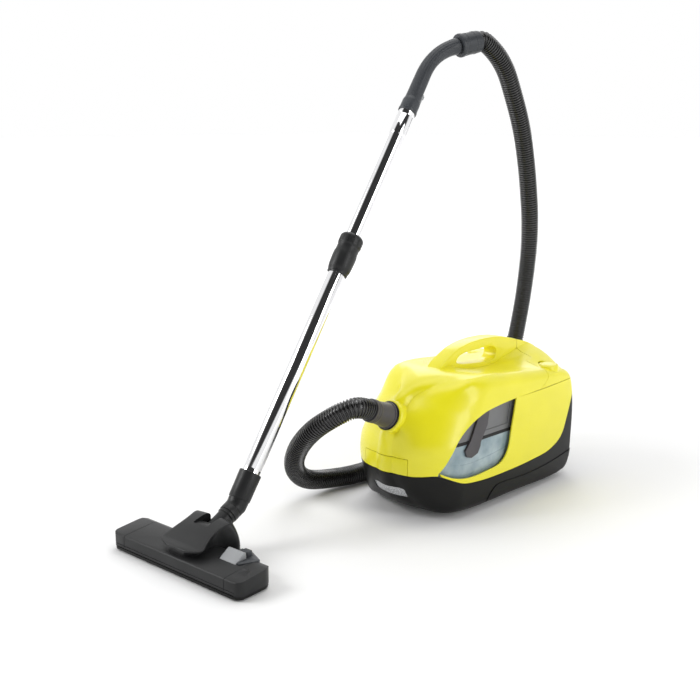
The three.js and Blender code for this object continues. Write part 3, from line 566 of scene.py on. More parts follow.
def skin(inset, steps=6, relief=None):
    """The closed outside of the casing, moved in by the inset."""
    edges = spline([s[0] for s in SKIN], steps, closed=True)
    centres = spline([s[1] for s in SKIN], steps, closed=True)
    rounds = spline([(i, s[2]) for i, s in enumerate(SKIN)], steps, closed=True)
    verts, faces = [], []
    for edge, centre, (_, radius) in zip(edges, centres, rounds):
        row = half_ring(edge, centre, max(radius - inset, 3), inset)
        verts += [(-x, y, z) for x, y, z in reversed(row[1:])] + row
    count = len(edges)
    size = len(verts) // count
    left_hub, right_hub = len(verts), len(verts) + 1
    hub = half_width(HUB_Y, HUB_Z) - inset
    verts += [(-hub, HUB_Y, HUB_Z), (hub, HUB_Y, HUB_Z)]
    for i in range(count):
        a, b = i * size, ((i + 1) % count) * size
        faces += [(a + j, a + j + 1, b + j + 1, b + j) for j in range(size - 1)]
        faces.append((left_hub, a, b))
        faces.append((right_hub, b + size - 1, a + size - 1))
    mesh = outward(mesh_from(verts, faces))
    if relief:
        for v in mesh.vertices:
            v.co = relief(v.co.copy(), v.normal.copy())
        mesh.update()
    return mesh


def line_distance(p, a, b):
    d = b - a
    t = min(max((p - a).dot(d) / d.length_squared, 0), 1)
    return (p - a - d * t).length


CREASE = [Vector((104, -104, 284)), Vector((88, -170, 262)), Vector((62, -222, 218))]
CHIN_DENT = Vector((92, -222, 68))
INLET_SWELL, CREASE_RISE, DENT_DEPTH, ROOT_RISE = 8, 3.2, 3.2, 8


def casing_relief(p, normal):
    """Soft shapes of the casing: swelling round the inlet, shoulder crease, chin dents and handle roots."""
    from_inlet = p - INLET
    out = from_inlet - INLET_AXIS * from_inlet.dot(INLET_AXIS)
    if p.y < -150:
        p = p + normal * INLET_SWELL * (1 - smooth((out.length - 30) / 36))
    side = Vector((abs(p.x), p.y, p.z))
    near = min(line_distance(side, CREASE[0], CREASE[1]), line_distance(side, CREASE[1], CREASE[2]))
    p = p + normal * CREASE_RISE * math.exp(-((near / 12) ** 2))
    if p.z < 96:
        p = p - normal * DENT_DEPTH * math.exp(-(((side - CHIN_DENT).length / 17) ** 2))
    if p.z > 240 and abs(p.x) < 44:
        root = (1 - smooth((abs(p.x) - 12) / 26)) ** 2
        ends = smooth((p.y + 118) / 50) * (1 - smooth((p.y - 225) / 30))
        gap = smooth((p.y + 60) / 24) * (1 - smooth((p.y - 98) / 24))
        p = p + Vector((0, 0, ROOT_RISE * root * ends * (1 - gap)))
    return p


BASE_SWEEP = pairs([(-249, 100), (-215, 103), (-186, 90), (-155, 78), (-95, 71), (-10, 70), (85, 73),
                    (156, 80), (203, 102), (229, 148), (250, 192), (262, 207), (300, 210)], 5)
WINDOW_UPPER = pairs([(-214, 110), (-170, 172), (-131, 202), (-91, 219), (-36, 227), (22, 231)], 6)
WINDOW_LOWER = pairs([(22, 231), (4, 171), (-10, 119), (-32, 97), (-84, 89), (-140, 88), (-186, 97),
                      (-211, 109)], 6)
HOOD_REAR = pairs([(119, 232), (146, 250), (154, 264), (158, 279)], 4) + [(183, 283), (183, 360)]
RIDGE_TOP = pairs([(-112, 284), (-97, 303), (-66, 320), (-37, 332), (8, 340), (63, 341), (110, 337),
                   (150, 329), (181, 320), (222, 308), (256, 294)], 4)


def shifted(line, dy, dz):
    return [(y + dy, z + dz) for y, z in line]


outer = skin(0, relief=casing_relief)
inner = skin(WALL, steps=3)
ridge = prism(RIDGE_TOP + [(262, 262), (150, 256), (-100, 276)], "x", -RIDGE_HALF, RIDGE_HALF)
hand_hole = prism([(float(y), float(z)) for y, z in spline(
    [(-44, 303), (-38, 313), (-22, 318), (20, 320), (86, 318), (99, 310), (102, 298), (92, 287),
     (30, 289), (-30, 297)], 4, closed=True)], "x", -60, 60)
ridge = bevel(cut(ridge, hand_hole), 7, 4, 50)
boss = moved(lathe([(0, -26), (36, -26), (35.5, -6), (34.6, -2.6), (32.6, -0.6), (30, 0.2), (0, 0.2)], 72),
             AT_INLET)


def button_axis(side):
    return vertical(side * BUTTON_X, BUTTON_Y)


def pod(side):
    r = BUTTON_R + 4
    return moved(lathe([(0, 240), (r + 3, 240), (r + 1.2, 262), (r + 0.3, BUTTON_TOP - 2.6),
                        (r - 0.5, BUTTON_TOP - 0.8), (r - 1.8, BUTTON_TOP), (0, BUTTON_TOP)], 64),
                 button_axis(side))


casing = cut(union(outer, ridge, boss, pod(-1), pod(1)), inner)


def part_of_casing(outline):
    return common(casing.copy(), prism(outline, "x", -WIDE, WIDE))


# Base pan
inside = skin(0.3, steps=3)
base = part_of_casing([(-300, 100)] + BASE_SWEEP + [(300, -20), (-300, -20)])
floor_pan = common(inside, box(-WIDE, WIDE, -300, 300, 8, 16))


def wheel_well(side, grow):
    x, half, reach = side * WHEEL_X, WHEEL_HALF + WELL_GAP + grow, WHEEL_R + WELL_GAP + 1 + grow
    return box(x - half, x + half, WHEEL_Y - reach, WHEEL_Y + reach, 2, 68 + grow)


def caster_well(grow):
    return moved(rod(40 + grow, 2, 44 + grow, 48), vertical(0, CASTER_Y))


wells = common(union(wheel_well(-1, WALL), wheel_well(1, WALL), caster_well(WALL)),
               common(inside, box(-WIDE, WIDE, -300, 300, 0, 90)))
flare_top = pairs([(300, 66), (240, 58), (152, 48), (53, 45), (-30, 49), (-46, 47), (-58, 40), (-70, 28),
                   (-76, 17)], 4)
flare = common(cut(skin(-1.5), skin(1.5, steps=3)), prism(flare_top + [(300, 17)], "x", -WIDE, WIDE))
base = union(base, floor_pan, wells, flare)
SCREWS = [(-112, -60), (112, -60), (-112, 140), (112, 140)]
for x, y in SCREWS:
    base = union(base, common(moved(rod(7, 14, 52, 24), vertical(x, y)), inside))
    screw_hole = lathe([(0, 0), (4.6, 0), (4.6, 14), (2.2, 14), (2.2, 34), (0, 34)], 24)
    base = cut(base, moved(screw_hole, vertical(x, y)))
chin_window = bevel(box(-44, 44, -300, -226, 44, 67), 5, 3, 80)
base = cut(base, wheel_well(-1, 0), wheel_well(1, 0), caster_well(0), chin_window,
           box(-HATCH_HALF - 0.6, HATCH_HALF + 0.6, 240, 290, HATCH_BOTTOM, HATCH_TOP + 0.6),
           box(-HATCH_HALF - 0.6, HATCH_HALF + 0.6, 252, 290, HATCH_BOTTOM - 11, HATCH_BOTTOM + 1),
           moved(rod(9.4, -20, 30, 40), AT_GLAND),
           moved(rod(4.3, 30, 60, 24), vertical(0, CASTER_Y)))
for z in (62, 82, 102):
    for side in (-1, 1):
        base = cut(base, box(side * 100 - 22, side * 100 + 22, 263.2, 300, z, z + 5))
base = common(base, box(-WIDE, WIDE, -320, 320, 12, 300))
piece("base_pan", base, "machine", "black", "base_shell")
inlay = common(cut(skin(1.2), skin(3.2)), box(-43.2, 43.2, -300, -222, 44.8, 66.2))
piece("grip_inlay", bevel(inlay, 0.5, 2, 60), "machine", "silver")

# Body, hood, rear cover and flap. The hood's chin follows the start of the base line, the body its rear.
body = part_of_casing([(-208, 101 + GAP)] + shifted(BASE_SWEEP, 0, GAP)[10:]
                      + [(300, 236 - GAP), (119, 232 - GAP)] + WINDOW_LOWER)
piece("side_body", body, "machine", "yellow", "body_shell")
hood = part_of_casing([(-300, 100 + GAP)] + shifted(BASE_SWEEP, 0, GAP)[:6] + WINDOW_UPPER
                      + shifted(HOOD_REAR, -GAP, 0.2) + [(-300, 360)])
hood = cut(hood, moved(rod(26, -40, 10, 64), AT_INLET), moved(rod(32, 0.2, 30, 64), AT_INLET),
           box(-FLAP_HALF, FLAP_HALF, -300, -240, 90, FLAP_TOP))
piece("hood_cover", hood, "hood_body", "yellow", "hood")
rear = part_of_casing(HOOD_REAR + [(300, 360), (300, 236)])
rear_half = half_width(BUTTON_Y, 250) + 30
rear = common(rear, box(-rear_half, rear_half, 100, 300, 232, 360))
for side in (-1, 1):
    rear = cut(rear, moved(rod(BUTTON_R + 0.9, 246, 300, 64), button_axis(side)),
               moved(rod(5, 230, 260, 24), button_axis(side)))
piece("rear_deck", rear, "machine", "yellow", "rear_cover")
flap = common(casing.copy(), box(-FLAP_HALF + 1.1, FLAP_HALF - 1.1, -300, -246, 101.6, FLAP_TOP - 1.1))
flap = union(flap, box(-9, 9, -261.5, -250, 104, 107.5))
piece("front_flap", flap, "latch_body", "yellow", "latch_flap")

# Buttons on the rear cover
for name, side, body_name, node in (("power_press", 1, "power_button_body", "power_button"),
                                    ("rewind_press", -1, "rewind_button_body", "rewind_button")):
    top = BUTTON_TOP + 1
    cap = lathe([(0, 236), (4.5, 236), (4.5, top - 15), (BUTTON_R - 1, top - 15), (BUTTON_R, top - 13),
                 (BUTTON_R, top - 1.6), (BUTTON_R - 0.6, top - 0.5), (BUTTON_R - 1.8, top), (15.4, top),
                 (15, top - 0.7), (14.2, top - 0.7), (13.8, top), (0, top - 0.6)], 72)
    piece(name, moved(cap, button_axis(side)), body_name, "yellow", node)

# Exhaust hatch in the back
panel = common(casing.copy(), box(-HATCH_HALF + 0.4, HATCH_HALF - 0.4, 240, 290,
                                  HATCH_BOTTOM + 0.4, HATCH_TOP))
barrel = moved(tube(1.8, 3.6, -HATCH_HALF + 1, HATCH_HALF - 1, 28), across(0, 258, HATCH_BOTTOM - 4))
web = box(-HATCH_HALF + 1, HATCH_HALF - 1, 260.5, 263, HATCH_BOTTOM - 3, HATCH_BOTTOM + 4)
hatch = union(panel, barrel, web)
for k in range(9):
    z = 92 + 9.5 * k
    hatch = cut(hatch, bevel(box(-54, 54, 230, 290, z, z + 4), 1.6, 3, 80))
piece("exhaust_hatch", hatch, "hatch_body", "black", "hepa_cover")

# Filter behind the hatch, and the cord's outlet gland
pleats = [(-66, 250)]
for k in range(44):
    pleats.append((-64.5 + 3 * k, 251.5 if k % 2 else 243))
pleats += [(66, 250), (66, 236), (-66, 236)]
filter_frame = cut(box(-66, 66, 234, 252, 80, 180), box(-62, 62, 230, 256, 85, 175))
pleated = union(prism(pleats, "z", 84, 176), filter_frame)
piece("pleated_filter", pleated, "machine", "paper", "hepa_filter")
gland = [(4.2, -8.4), (12, -8.4), (12, -6), (8.4, -5.8), (8.4, 5.8), (10, 6), (10, 8.5)]
for k in range(4):
    z = 9 + 4 * k
    valley, crest = 8.2 - 0.5 * k, 9.4 - 0.6 * k
    gland += [(valley, z), (valley, z + 1.4), (crest, z + 2), (9.2 - 0.6 * k, z + 3.4)]
gland += [(6.4, 24.6), (4.2, 25)]
piece("outlet_gland", moved(lathe(gland, 40, closed=True), AT_GLAND), "machine", "rubber", "cord_gland")

# ---------------------------------------------------------------- water tank, lid and bar
TANK_Y0, TANK_Y1, TANK_Z0, TANK_Z1, LID_BASE = -226, 36, 54, 158, 165


def tank_zone(mesh, inset, z0, z1):
    return common(mesh, box(-WIDE, WIDE, TANK_Y0 + inset, TANK_Y1 - inset, z0, z1))


tank = tank_zone(skin(11), 0, TANK_Z0, TANK_Z1)
tank = cut(tank, tank_zone(skin(13.6, steps=4), 2.6, TANK_Z0 + 2.6, TANK_Z1 + 10))
# The groove along the bowl's wall that stands for the level line
level = pairs([(-212, 146), (-190, 126), (-160, 117), (-120, 114), (-64, 117), (0, 124), (36, 128)], 4)
tank = cut(tank, common(cut(skin(10, steps=4), skin(11.7, steps=4)),
                        prism(level + list(reversed(shifted(level, 0, 2.2))), "x", -WIDE, WIDE)))
piece("tank_bowl", tank, "machine", "tank", "water_tank")
seal = cut(tank_zone(skin(10.4), 0.5, TANK_Z1 + 0.4, LID_BASE), tank_zone(skin(16, steps=3), 5, 150, 170))
piece("tank_gasket", seal, "machine", "rubber", "tank_seal")
lid = common(skin(11), box(-WIDE, WIDE, -190, TANK_Y1, LID_BASE + 0.4, 240))
lid = cut(lid, common(skin(13.6, steps=4), box(-WIDE, WIDE, -187, TANK_Y1 - 3, 150, 237)))
apron = cut(tank_zone(skin(11), 0.5, LID_BASE + 0.4, 168), tank_zone(skin(18, steps=3), 8, 150, 170))
lid = union(lid, apron)
lid = cut(lid, moved(rod(17, -90, 30, 40), AT_INLET), moved(rod(34, 230, 250, 48), vertical(0, -40)))
lid_recess = bevel(prism([(-82, 176), (2, 176), (12, 219), (-58, 219)], "x", -WIDE, WIDE), 3, 3, 20)
lid = cut(lid, common(cut(skin(9.5, steps=4), skin(12.6, steps=4)), lid_recess))
piece("tank_cover", lid, "machine", "lid", "tank_lid")

# Dark bar over the lid
bar_line = [(-84, 247), (-108, 204), (-132, 164), (-147, 147), (-142, 133), (-128, 128), (-108, 134),
            (-99, 148), (-98, 156), (-75, 190), (-60, 247)]
bar_sides = common(cut(skin(5.2), skin(9.6)), prism(bar_line, "x", -WIDE, WIDE))
bar_top = common(box(-WIDE, WIDE, -82, -64, 241, 247), skin(5.2))
piece("carry_bar", bevel(union(bar_sides, bar_top), 0.9, 2, 50), "machine", "violet", "tank_handle")


# ---------------------------------------------------------------- wheels
def wheel_profile(r, half, bore):
    return [(bore, -half + 2), (bore + 5, -half + 1.4), (r * 0.55, -half + 3.2), (r - 6, -half + 1.2),
            (r - 4, -half), (r - 1.4, -half + 0.6), (r, -half + 2.6), (r, -2.4), (r - 0.8, -2), (r - 0.8, 2),
            (r, 2.4), (r, half - 2.6), (r - 1.4, half - 0.6), (r - 4, half), (r - 6, half - 1.2),
            (r * 0.55, half - 3.2), (bore + 5, half - 1.4), (bore, half - 2)]


for name, side in (("left", -1), ("right", 1)):
    spot = across(side * WHEEL_X, WHEEL_Y, WHEEL_R)
    piece(f"back_wheel_{name}", moved(lathe(wheel_profile(WHEEL_R, WHEEL_HALF, 4.3), 56, closed=True), spot),
          f"wheel_{name}_body", "rubber", f"rear_wheel_{name}")
caster = lathe(wheel_profile(CASTER_R, WHEEL_HALF, 3.3), 44, closed=True)
piece("front_caster_wheel", moved(caster, CASTER_SPOT),
      "caster_wheel_body", "rubber", "caster_wheel")
cheeks = [bevel(box(x, x + 3.4, -156, -132, 14, 42), 1.2, 2, 60) for x in (10.6, -14)]
turntable = lathe([(0, 40), (21, 40), (22, 41), (22, 42.6), (21, 43.4), (0, 43.4)], 48)
pivot_pin = lathe([(0, 42), (4, 42), (4, 51), (3, 52), (0, 52)], 24)
fork = union(*cheeks, moved(turntable, vertical(0, CASTER_Y)), moved(pivot_pin, vertical(0, CASTER_Y)))
fork = cut(fork, moved(rod(3.3, -30, 30, 24), CASTER_SPOT))
piece("caster_yoke", fork, "caster_body", "dark", "caster_fork")

# ---------------------------------------------------------------- inlet and cuff
socket = lathe([(20, -44), (25.4, -44), (25.4, 0.6), (30, 0.6), (31, 1.2), (31, 2), (30.2, 2.6), (20, 2.6)],
               72, closed=True)
piece("inlet_ring", moved(socket, AT_INLET), "hood_body", "dark", "inlet_socket")
cuff = lathe([(16.5, -40), (19.4, -40), (19.4, 3), (27.6, 3), (28.5, 3.8), (28.5, 7.2), (27.8, 8.2),
              (26.6, 8.6), (26.2, 12), (24.9, 26), (23.6, 40), (23.2, 44), (23.4, 45.4), (24.4, 46),
              (24.8, 47), (24.8, 49.4), (24.2, 50), (24.2, 53), (24.8, 53.6), (24.8, 56), (24.2, 56.6),
              (24.2, 59), (24.6, 59.8), (24.6, 61), (23.8, CUFF_LENGTH), (16.5, CUFF_LENGTH)], 72,
             closed=True)
piece("cuff", moved(cuff, AT_INLET), "cuff_body", "violet", "hose_cuff")

# ---------------------------------------------------------------- wand
COLLAR_GROOVES = 14
NOTCH_START, NOTCH_PITCH = 626, 20
upper_end = [(17.2, -62), (17.5, -60.6), (18.6, -57), (18.8, -55), (18.8, -12), (18.4, -11), (18.4, -9),
             (18.8, -8), (18.8, 0), (17.4, 0), (17.4, -55), (16, -62)]
upper = lathe([(16, 330), (17.2, 330)] + shifted(upper_end, 0, WAND_TOP), 64, closed=True)
for k in range(11):
    notch = shifted([(-4, 0), (4, 0), (3, 7), (-3, 7)], 0, NOTCH_START + NOTCH_PITCH * k)
    upper = cut(upper, prism(notch, "y", 14.6, 30))
piece("upper_tube", upper, "machine", "chrome", "wand_upper_tube", IN_WAND)
lower = lathe([(17.8, 44), (19, 44), (19, 76), (18.7, 77), (18.7, 79), (19, 80), (19, 584), (18.6, 585),
               (17.8, 585)], 64, closed=True)
piece("lower_tube", lower, "wand_body", "chrome", "wand_lower_tube", IN_WAND)

# Collar at the wand's joint, with its release
collar = lathe([(19.4, 520), (21.2, 520), (22, 520.8), (22.3, 527), (23.4, 529), (24.6, 536), (25.2, 548),
                (25.5, 560), (25.2, 568), (24.1, 572), (23.8, 584), (24.2, 586), (25.4, 588), (25.6, 590),
                (25.6, 604), (25, 606.6), (23.4, 608.4), (21, 611), (19, 612), (17.6, 612), (17.6, 585.4),
                (19.4, 585.4)], 72, closed=True)
collar = cut(collar, bevel(box(-8.4, 8.4, 19.8, 40, 537, 575), 1.2, 2, 80))
for k in range(COLLAR_GROOVES):
    angle = 2 * math.pi * (k + 0.5) / COLLAR_GROOVES
    if abs(angle - math.pi / 2) < 0.5:
        continue
    groove = moved(box(-1.1, 1.1, -1.5, 1.5, 589, 603), Matrix.Translation(
        (26.4 * math.cos(angle), 26.4 * math.sin(angle), 0)) @ Matrix.Rotation(angle - math.pi / 2, 4, "Z"))
    collar = cut(collar, groove)
piece("telescope_collar", collar, "wand_body", "dark", "wand_collar", IN_WAND)
release = bevel(union(box(-7.8, 7.8, 20.2, 25.6, 540, 566), box(-6, 6, 25, 27.4, 543, 553)), 0.8, 2, 50)
for k in range(3):
    release = cut(release, box(-5, 5, 26.8, 30, 544.4 + 3 * k, 545.6 + 3 * k))
piece("release_slide", release, "release_body", "grey", "wand_release_button", IN_WAND)

# ---------------------------------------------------------------- handle
STRAIGHT_GRIP = 101
bend_from, bend_by = along_wand(WAND_TOP + STRAIGHT_GRIP), along_wand(WAND_TOP + GRIP_CORNER)
grip_path = [along_wand(WAND_TOP + 0.4 + k * (STRAIGHT_GRIP - 0.4) / 14) for k in range(14)]
for k in range(33):
    t = k / 32
    grip_path.append(bend_from * (1 - t) ** 2 + bend_by * 2 * t * (1 - t) + HANDLE_END * t ** 2)


def grip_section(i):
    """Round, with a swelling at each end and fine grooves along the middle."""
    t = i / (len(grip_path) - 1)
    swell = 1.6 * math.exp(-(((t - 0.05) / 0.05) ** 2)) + 1.1 * math.exp(-(((t - 0.97) / 0.05) ** 2))
    radius = 17.6 + swell - 1.2 * math.sin(math.pi * smooth((t - 0.1) / 0.85))
    out = []
    for k in range(72):
        a = 2 * math.pi * k / 72
        dent = 0.55 if 0.34 < t < 0.93 and k % 6 == 0 else 0.0
        out.append(((radius - dent) * math.cos(a), (radius - dent) * math.sin(a)))
    return out


grip = sweep(grip_path, grip_section)
bore = sweep([along_wand(WAND_TOP - 8)] + grip_path[1:-1] + [HANDLE_END + HANDLE_AXIS * 6],
             lambda i: circle(13, 24))
spigot = moved(tube(13.4, 15.4, WAND_TOP - 35, WAND_TOP + 3, 40), IN_WAND)
sleeve_line = [(12.6, 0.4), (20.4, 0.4), (21, 1.4), (21, 6), (20.2, 7), (20.2, 26), (19.4, 31), (17.4, 34),
               (12.6, 34)]
sleeve = moved(lathe(shifted(sleeve_line, 0, WAND_TOP), 64, closed=True), IN_WAND)
end_tube = moved(tube(12, 16, -12, 40, 48), AT_HANDLE_END)
grip = cut(grip, bore)
grip = union(grip, spigot, sleeve, end_tube)
grip = cut(grip, moved(box(-7, 7, 15.6, 40, WAND_TOP + 32, WAND_TOP + 78), IN_WAND))
piece("bent_grip", grip, "machine", "slate", "handle_grip")

# Suction slider, and the collar at the hose's end
slider = bevel(union(box(-6.6, 6.6, 16.8, 22, WAND_TOP + 33, WAND_TOP + 62),
                     box(-6.6, 6.6, 21, 25, WAND_TOP + 52, WAND_TOP + 60)), 0.9, 2, 50)
for k in range(4):
    slider = cut(slider, box(-5.4, 5.4, 21.2, 30, WAND_TOP + 36 + 4 * k, WAND_TOP + 37.6 + 4 * k))
piece("air_slider", slider, "slider_body", "grey", "suction_slider", IN_WAND)
hose_end = lathe([(16.4, 3), (24.6, 3), (25.5, 3.8), (26.5, 6), (26.5, 12), (25.8, 13.4), (24.8, 14),
                  (24.8, 20), (25.3, 20.6), (25.3, 22), (24.8, 22.6), (24.9, 40), (25.4, 40.6), (25.4, 44),
                  (24.9, 44.6), (24.8, 52), (24.2, 56.6), (23.5, COLLAR_LENGTH), (16.4, COLLAR_LENGTH)], 72,
                 closed=True)
piece("hose_end_collar", moved(hose_end, AT_HANDLE_END), "collar_body", "slate", "hose_collar")

# ---------------------------------------------------------------- floor head
HALF_HEAD = 180
HEAD_SIDE = [(-44, 9), (-46, 14), (-46, 15.4), (-45, 15.8), (-45, 16.8), (-46, 17.2), (-45, 33.6),
             (-43.6, 35.6), (-41, 36.6), (28, 42), (37, 40), (42, 36), (44, 9)]
HEAD_INSIDE = [(-42, 0), (-42, 31.8), (-40, 34.6), (27.4, 40.2), (39.5, 36), (41.4, 0)]
HEAD_WHEEL_X, HEAD_WHEEL_Y, HEAD_WHEEL_R = 142, 24, 9
END_SEAM_X = 142
DRUM_R, DRUM_HALF = 31, 19
AT_PIVOT = across(0, *PIVOT)


def head_axle(side):
    return across(side * HEAD_WHEEL_X, HEAD_WHEEL_Y, HEAD_WHEEL_R)


def head_plan(inset):
    h, f, r = HALF_HEAD - inset, -46 + inset, 44 - inset
    corners = []
    for x, v, radius, start in ((-h, f, 17, 180), (h, f, 17, 270), (h, r, 26, 0), (-h, r, 26, 90)):
        for k in range(7):
            a = rad(start + 15 * k)
            corners.append((x - math.copysign(radius, x) + radius * math.cos(a),
                            v - math.copysign(radius, v) + radius * math.sin(a)))
    return corners


slab = common(prism(HEAD_SIDE, "x", -HALF_HEAD, HALF_HEAD), prism(head_plan(0), "z", 0, 60))
slab = bevel(slab, 1.6, 3, 28)
# The raised shield: place from front to rear, half width and height of its edge, half width of its foot.
SHIELD = [(-38, 10, 50.6, 8), (-36, 25, 51.2, 15), (-31, 40, 52.2, 24), (-25, 51, 53, 31),
          (-18, 57, 54.4, 35), (-8, 54, 59.5, 36), (3, 50, 65, 36), (16, 46.5, 71, 36), (30, 45, 76, 38),
          (44, 46, 79.6, 46), (56, 48.5, 81.6, 59), (64, 48.5, 81, 65), (70, 45, 77.5, 62)]
SHIELD_CROWN, SHIELD_THICK, SHIELD_FOOT_Z = 2.2, 3, 37
stations = [tuple(float(n) for n in p) for p in spline(SHIELD, 3)]
plate_rows, core_rows = [], []
for v, half, edge, foot in stations:
    arch = [(half * t, edge + SHIELD_CROWN * (1 - t * t)) for t in [k / 8 - 1 for k in range(17)]]
    plate_rows.append([(x, v, z) for x, z in arch] + [(x, v, z - SHIELD_THICK) for x, z in reversed(arch)])
    spread, rise = half - 1.6 - foot, edge - 1.4 - SHIELD_FOOT_Z
    flank = [(foot + spread * t * t, SHIELD_FOOT_Z + rise * t) for t in [k / 8 for k in range(9)]]
    core_rows.append([(-foot, v + 1, 24)] + [(-x, v + 1, z) for x, z in flank]
                     + [(x, v + 1, z) for x, z in reversed(flank)] + [(foot, v + 1, 24)])
head_shell = union(slab, bevel(outward(grid(plate_rows)), 0.9, 2, 40), outward(grid(core_rows[4:])))
head_room = common(prism(HEAD_INSIDE, "x", -HALF_HEAD + 3, HALF_HEAD - 3),
                   prism(head_plan(2.6), "z", -5, 60))
rocker_room = moved(rod(20.4, -27, 27, 48), AT_PIVOT)
drum_room = moved(rod(DRUM_R + 0.6, -DRUM_HALF, DRUM_HALF, 72), AT_PIVOT)
stub_slot = prism([(36, 24), (80, 24), (100, 60), (60, 110), (27, 110), (25, 60)], "x", -DRUM_HALF, DRUM_HALF)
heel_room = prism([(121, 1.8), (131, 2.6), (148.6, 36), (148.6, 60), (108.8, 60), (108.8, 31)], "z", 22, 60)
head_shell = cut(head_shell, head_room, rocker_room, bevel(stub_slot, 3, 3, 60), drum_room,
                 box(76.6, 122.8, 1, 60, 22, 60), heel_room, bevel(box(146, 160, -3, 4, 39.4, 60), 1, 2, 80))
seam_floor = prism([(-44.8, 0), (-44.8, 32.4), (-41.4, 36.2), (28, 41.8), (41, 37), (42.8, 0)], "x",
                   -190, 190)
for x in (-END_SEAM_X, END_SEAM_X):
    head_shell = cut(head_shell, cut(box(x - 0.6, x + 0.6, -60, 60, 6, 60), seam_floor))
piece("head_shell", head_shell, "head_body", "dark", "head_cover", IN_HEAD)

# Sole plate and brush
sole = prism(head_plan(0.5), "z", 3, 8.6)
wheel_places = (-HEAD_WHEEL_X, HEAD_WHEEL_X)
sole = union(sole, *[box(x - 9.4, x + 9.4, 20, 28, 3, 13) for x in wheel_places])
sole = cut(bevel(sole, 0.8, 2, 60), box(-124, 124, -30, -12, 0, 12), box(-159, 159, -41.8, -37.2, 0, 12),
           *[box(x - 6.8, x + 6.8, 14, 34, 0, 20) for x in wheel_places],
           *[moved(rod(2.3, -20, 20, 20), head_axle(side)) for side in (-1, 1)])
for k in range(-3, 4):
    sole = cut(sole, box(k * 34 - 8, k * 34 + 8, -8, 34, 2, 4.4))
piece("sole", sole, "head_body", "black", "head_sole_plate", IN_HEAD)
tufts = [box(-158, 158, -42.6, -34, 9, 12)]
for k in range(79):
    x = -156 + 4 * k
    if k % 13 != 12:
        tufts.append(box(x - 1.7, x + 1.7, -40.8, -38.2, 0.6, 10))
piece("brush_row", union(*tufts), "brush_body", "bristle", "brush_strip", IN_HEAD)

# Pedal, its heel and the small wheels
pedal = prism([(2, 36), (3.4, 39.6), (26, 54), (30, 53), (31, 38), (12, 34)], "x", 78, 121.4)
piece("press_pedal", bevel(pedal, 1.2, 3, 30), "pedal_body", "grey", "brush_pedal", IN_HEAD)
heel = prism([(122.6, 3.4), (130, 4), (147, 36), (145, 42), (112, 56), (84, 56), (84, 32.4), (122.6, 32.4)],
             "z", 34, 42.6)
heel = union(bevel(heel, 1, 2, 30), bevel(box(102, 120, 34, 48, 40, 52), 2.4, 3, 60))
piece("pedal_heel", heel, "pedal_body", "slate", matrix=IN_HEAD)
for name, side in (("left", -1), ("right", 1)):
    small = lathe([(2.3, -6), (7.6, -6), (9, -4.8), (9, 4.8), (7.6, 6), (2.3, 6)], 36, closed=True)
    piece(f"sole_wheel_{name}", moved(small, head_axle(side)), f"head_wheel_{name}_body",
          "rubber", f"head_wheel_{name}", IN_HEAD)

# Neck, and the rocker with the drum that closes the shield's slot
to_pivot = Vector((0, PIVOT[0] - BEND[0], PIVOT[1] - BEND[1]))
stub_length = to_pivot.length
stub_axis = -to_pivot / stub_length
wand_in_head = Vector((0, math.cos(WAND_TILT), math.sin(WAND_TILT)))
AT_BEND_WAND = aim(wand_in_head, (0, *BEND))
AT_BEND_STUB = aim(stub_axis, (0, *BEND))
NECK_TOP, NECK_JOINT = 70, -26
neck = moved(lathe([(0, 0), (20.5, 0), (20.9, 12), (20.9, 13), (21.9, 13.6), (22.3, 15), (22.5, 40),
                    (22.9, NECK_TOP - 2), (22.6, NECK_TOP - 0.6), (21.8, NECK_TOP), (0, NECK_TOP)], 64),
             AT_BEND_WAND)
lower_neck = moved(lathe([(0, NECK_JOINT), (19.4, NECK_JOINT), (20, NECK_JOINT + 0.8), (20, -14), (19.4, -13),
                          (19.4, -11.6), (20, -10.8), (20, 2), (0, 2)], 64), AT_BEND_STUB)
BALL_R = 20.4
ball_rows = [(BALL_R * max(math.cos(rad(t)), 0.0), BALL_R * math.sin(rad(t))) for t in range(-90, 91, 9)]
ball = moved(lathe(ball_rows, 48), Matrix.Translation((0, *BEND)))
neck = union(neck, lower_neck, ball)
neck = cut(neck, moved(rod(19.4, 43.6, NECK_TOP + 10, 64), AT_BEND_WAND),
           moved(rod(15.5, -2, 49, 40), AT_BEND_WAND),
           moved(rod(15.5, NECK_JOINT - 5, 4, 40), AT_BEND_STUB))
piece("bent_neck", neck, "wand_body", "dark", "nozzle_neck", IN_HEAD)
rocker = union(
    moved(lathe([(0, -stub_length + 4), (17, -stub_length + 4), (17, -34), (19, -32), (19, NECK_JOINT - 1.2),
                 (18.4, NECK_JOINT - 0.4), (0, NECK_JOINT - 0.4)], 56), AT_BEND_STUB),
    moved(lathe([(0, -26), (17.6, -26), (19, -24.6), (19, 24.6), (17.6, 26), (0, 26)], 56), AT_PIVOT))
drum = moved(tube(DRUM_R - 2.4, DRUM_R, -DRUM_HALF + 0.6, DRUM_HALF - 0.6, 96), AT_PIVOT)


def fan(reach, degrees):
    """A slice round the pivot, as (y, z)."""
    return [PIVOT] + [(PIVOT[0] + reach * math.cos(rad(t)), PIVOT[1] + reach * math.sin(rad(t)))
                      for t in degrees]


drum = common(drum, prism(fan(60, range(44, 145, 10)), "x", -20, 20))
rib = prism(fan(30, (70, 74)), "x", -18, 18)
rocker = union(rocker, drum, rib)
rocker = cut(rocker, moved(rod(13, -stub_length - 30, NECK_JOINT + 3, 40), AT_BEND_STUB))
piece("swivel_rocker", rocker, "rocker_body", "dark", "nozzle_rocker", IN_HEAD)

# ---------------------------------------------------------------- studio
FLOOR_HALF = 40
GLOW_FROM, GLOW_TO, GLOW = 0.9, 2.6, 0.55


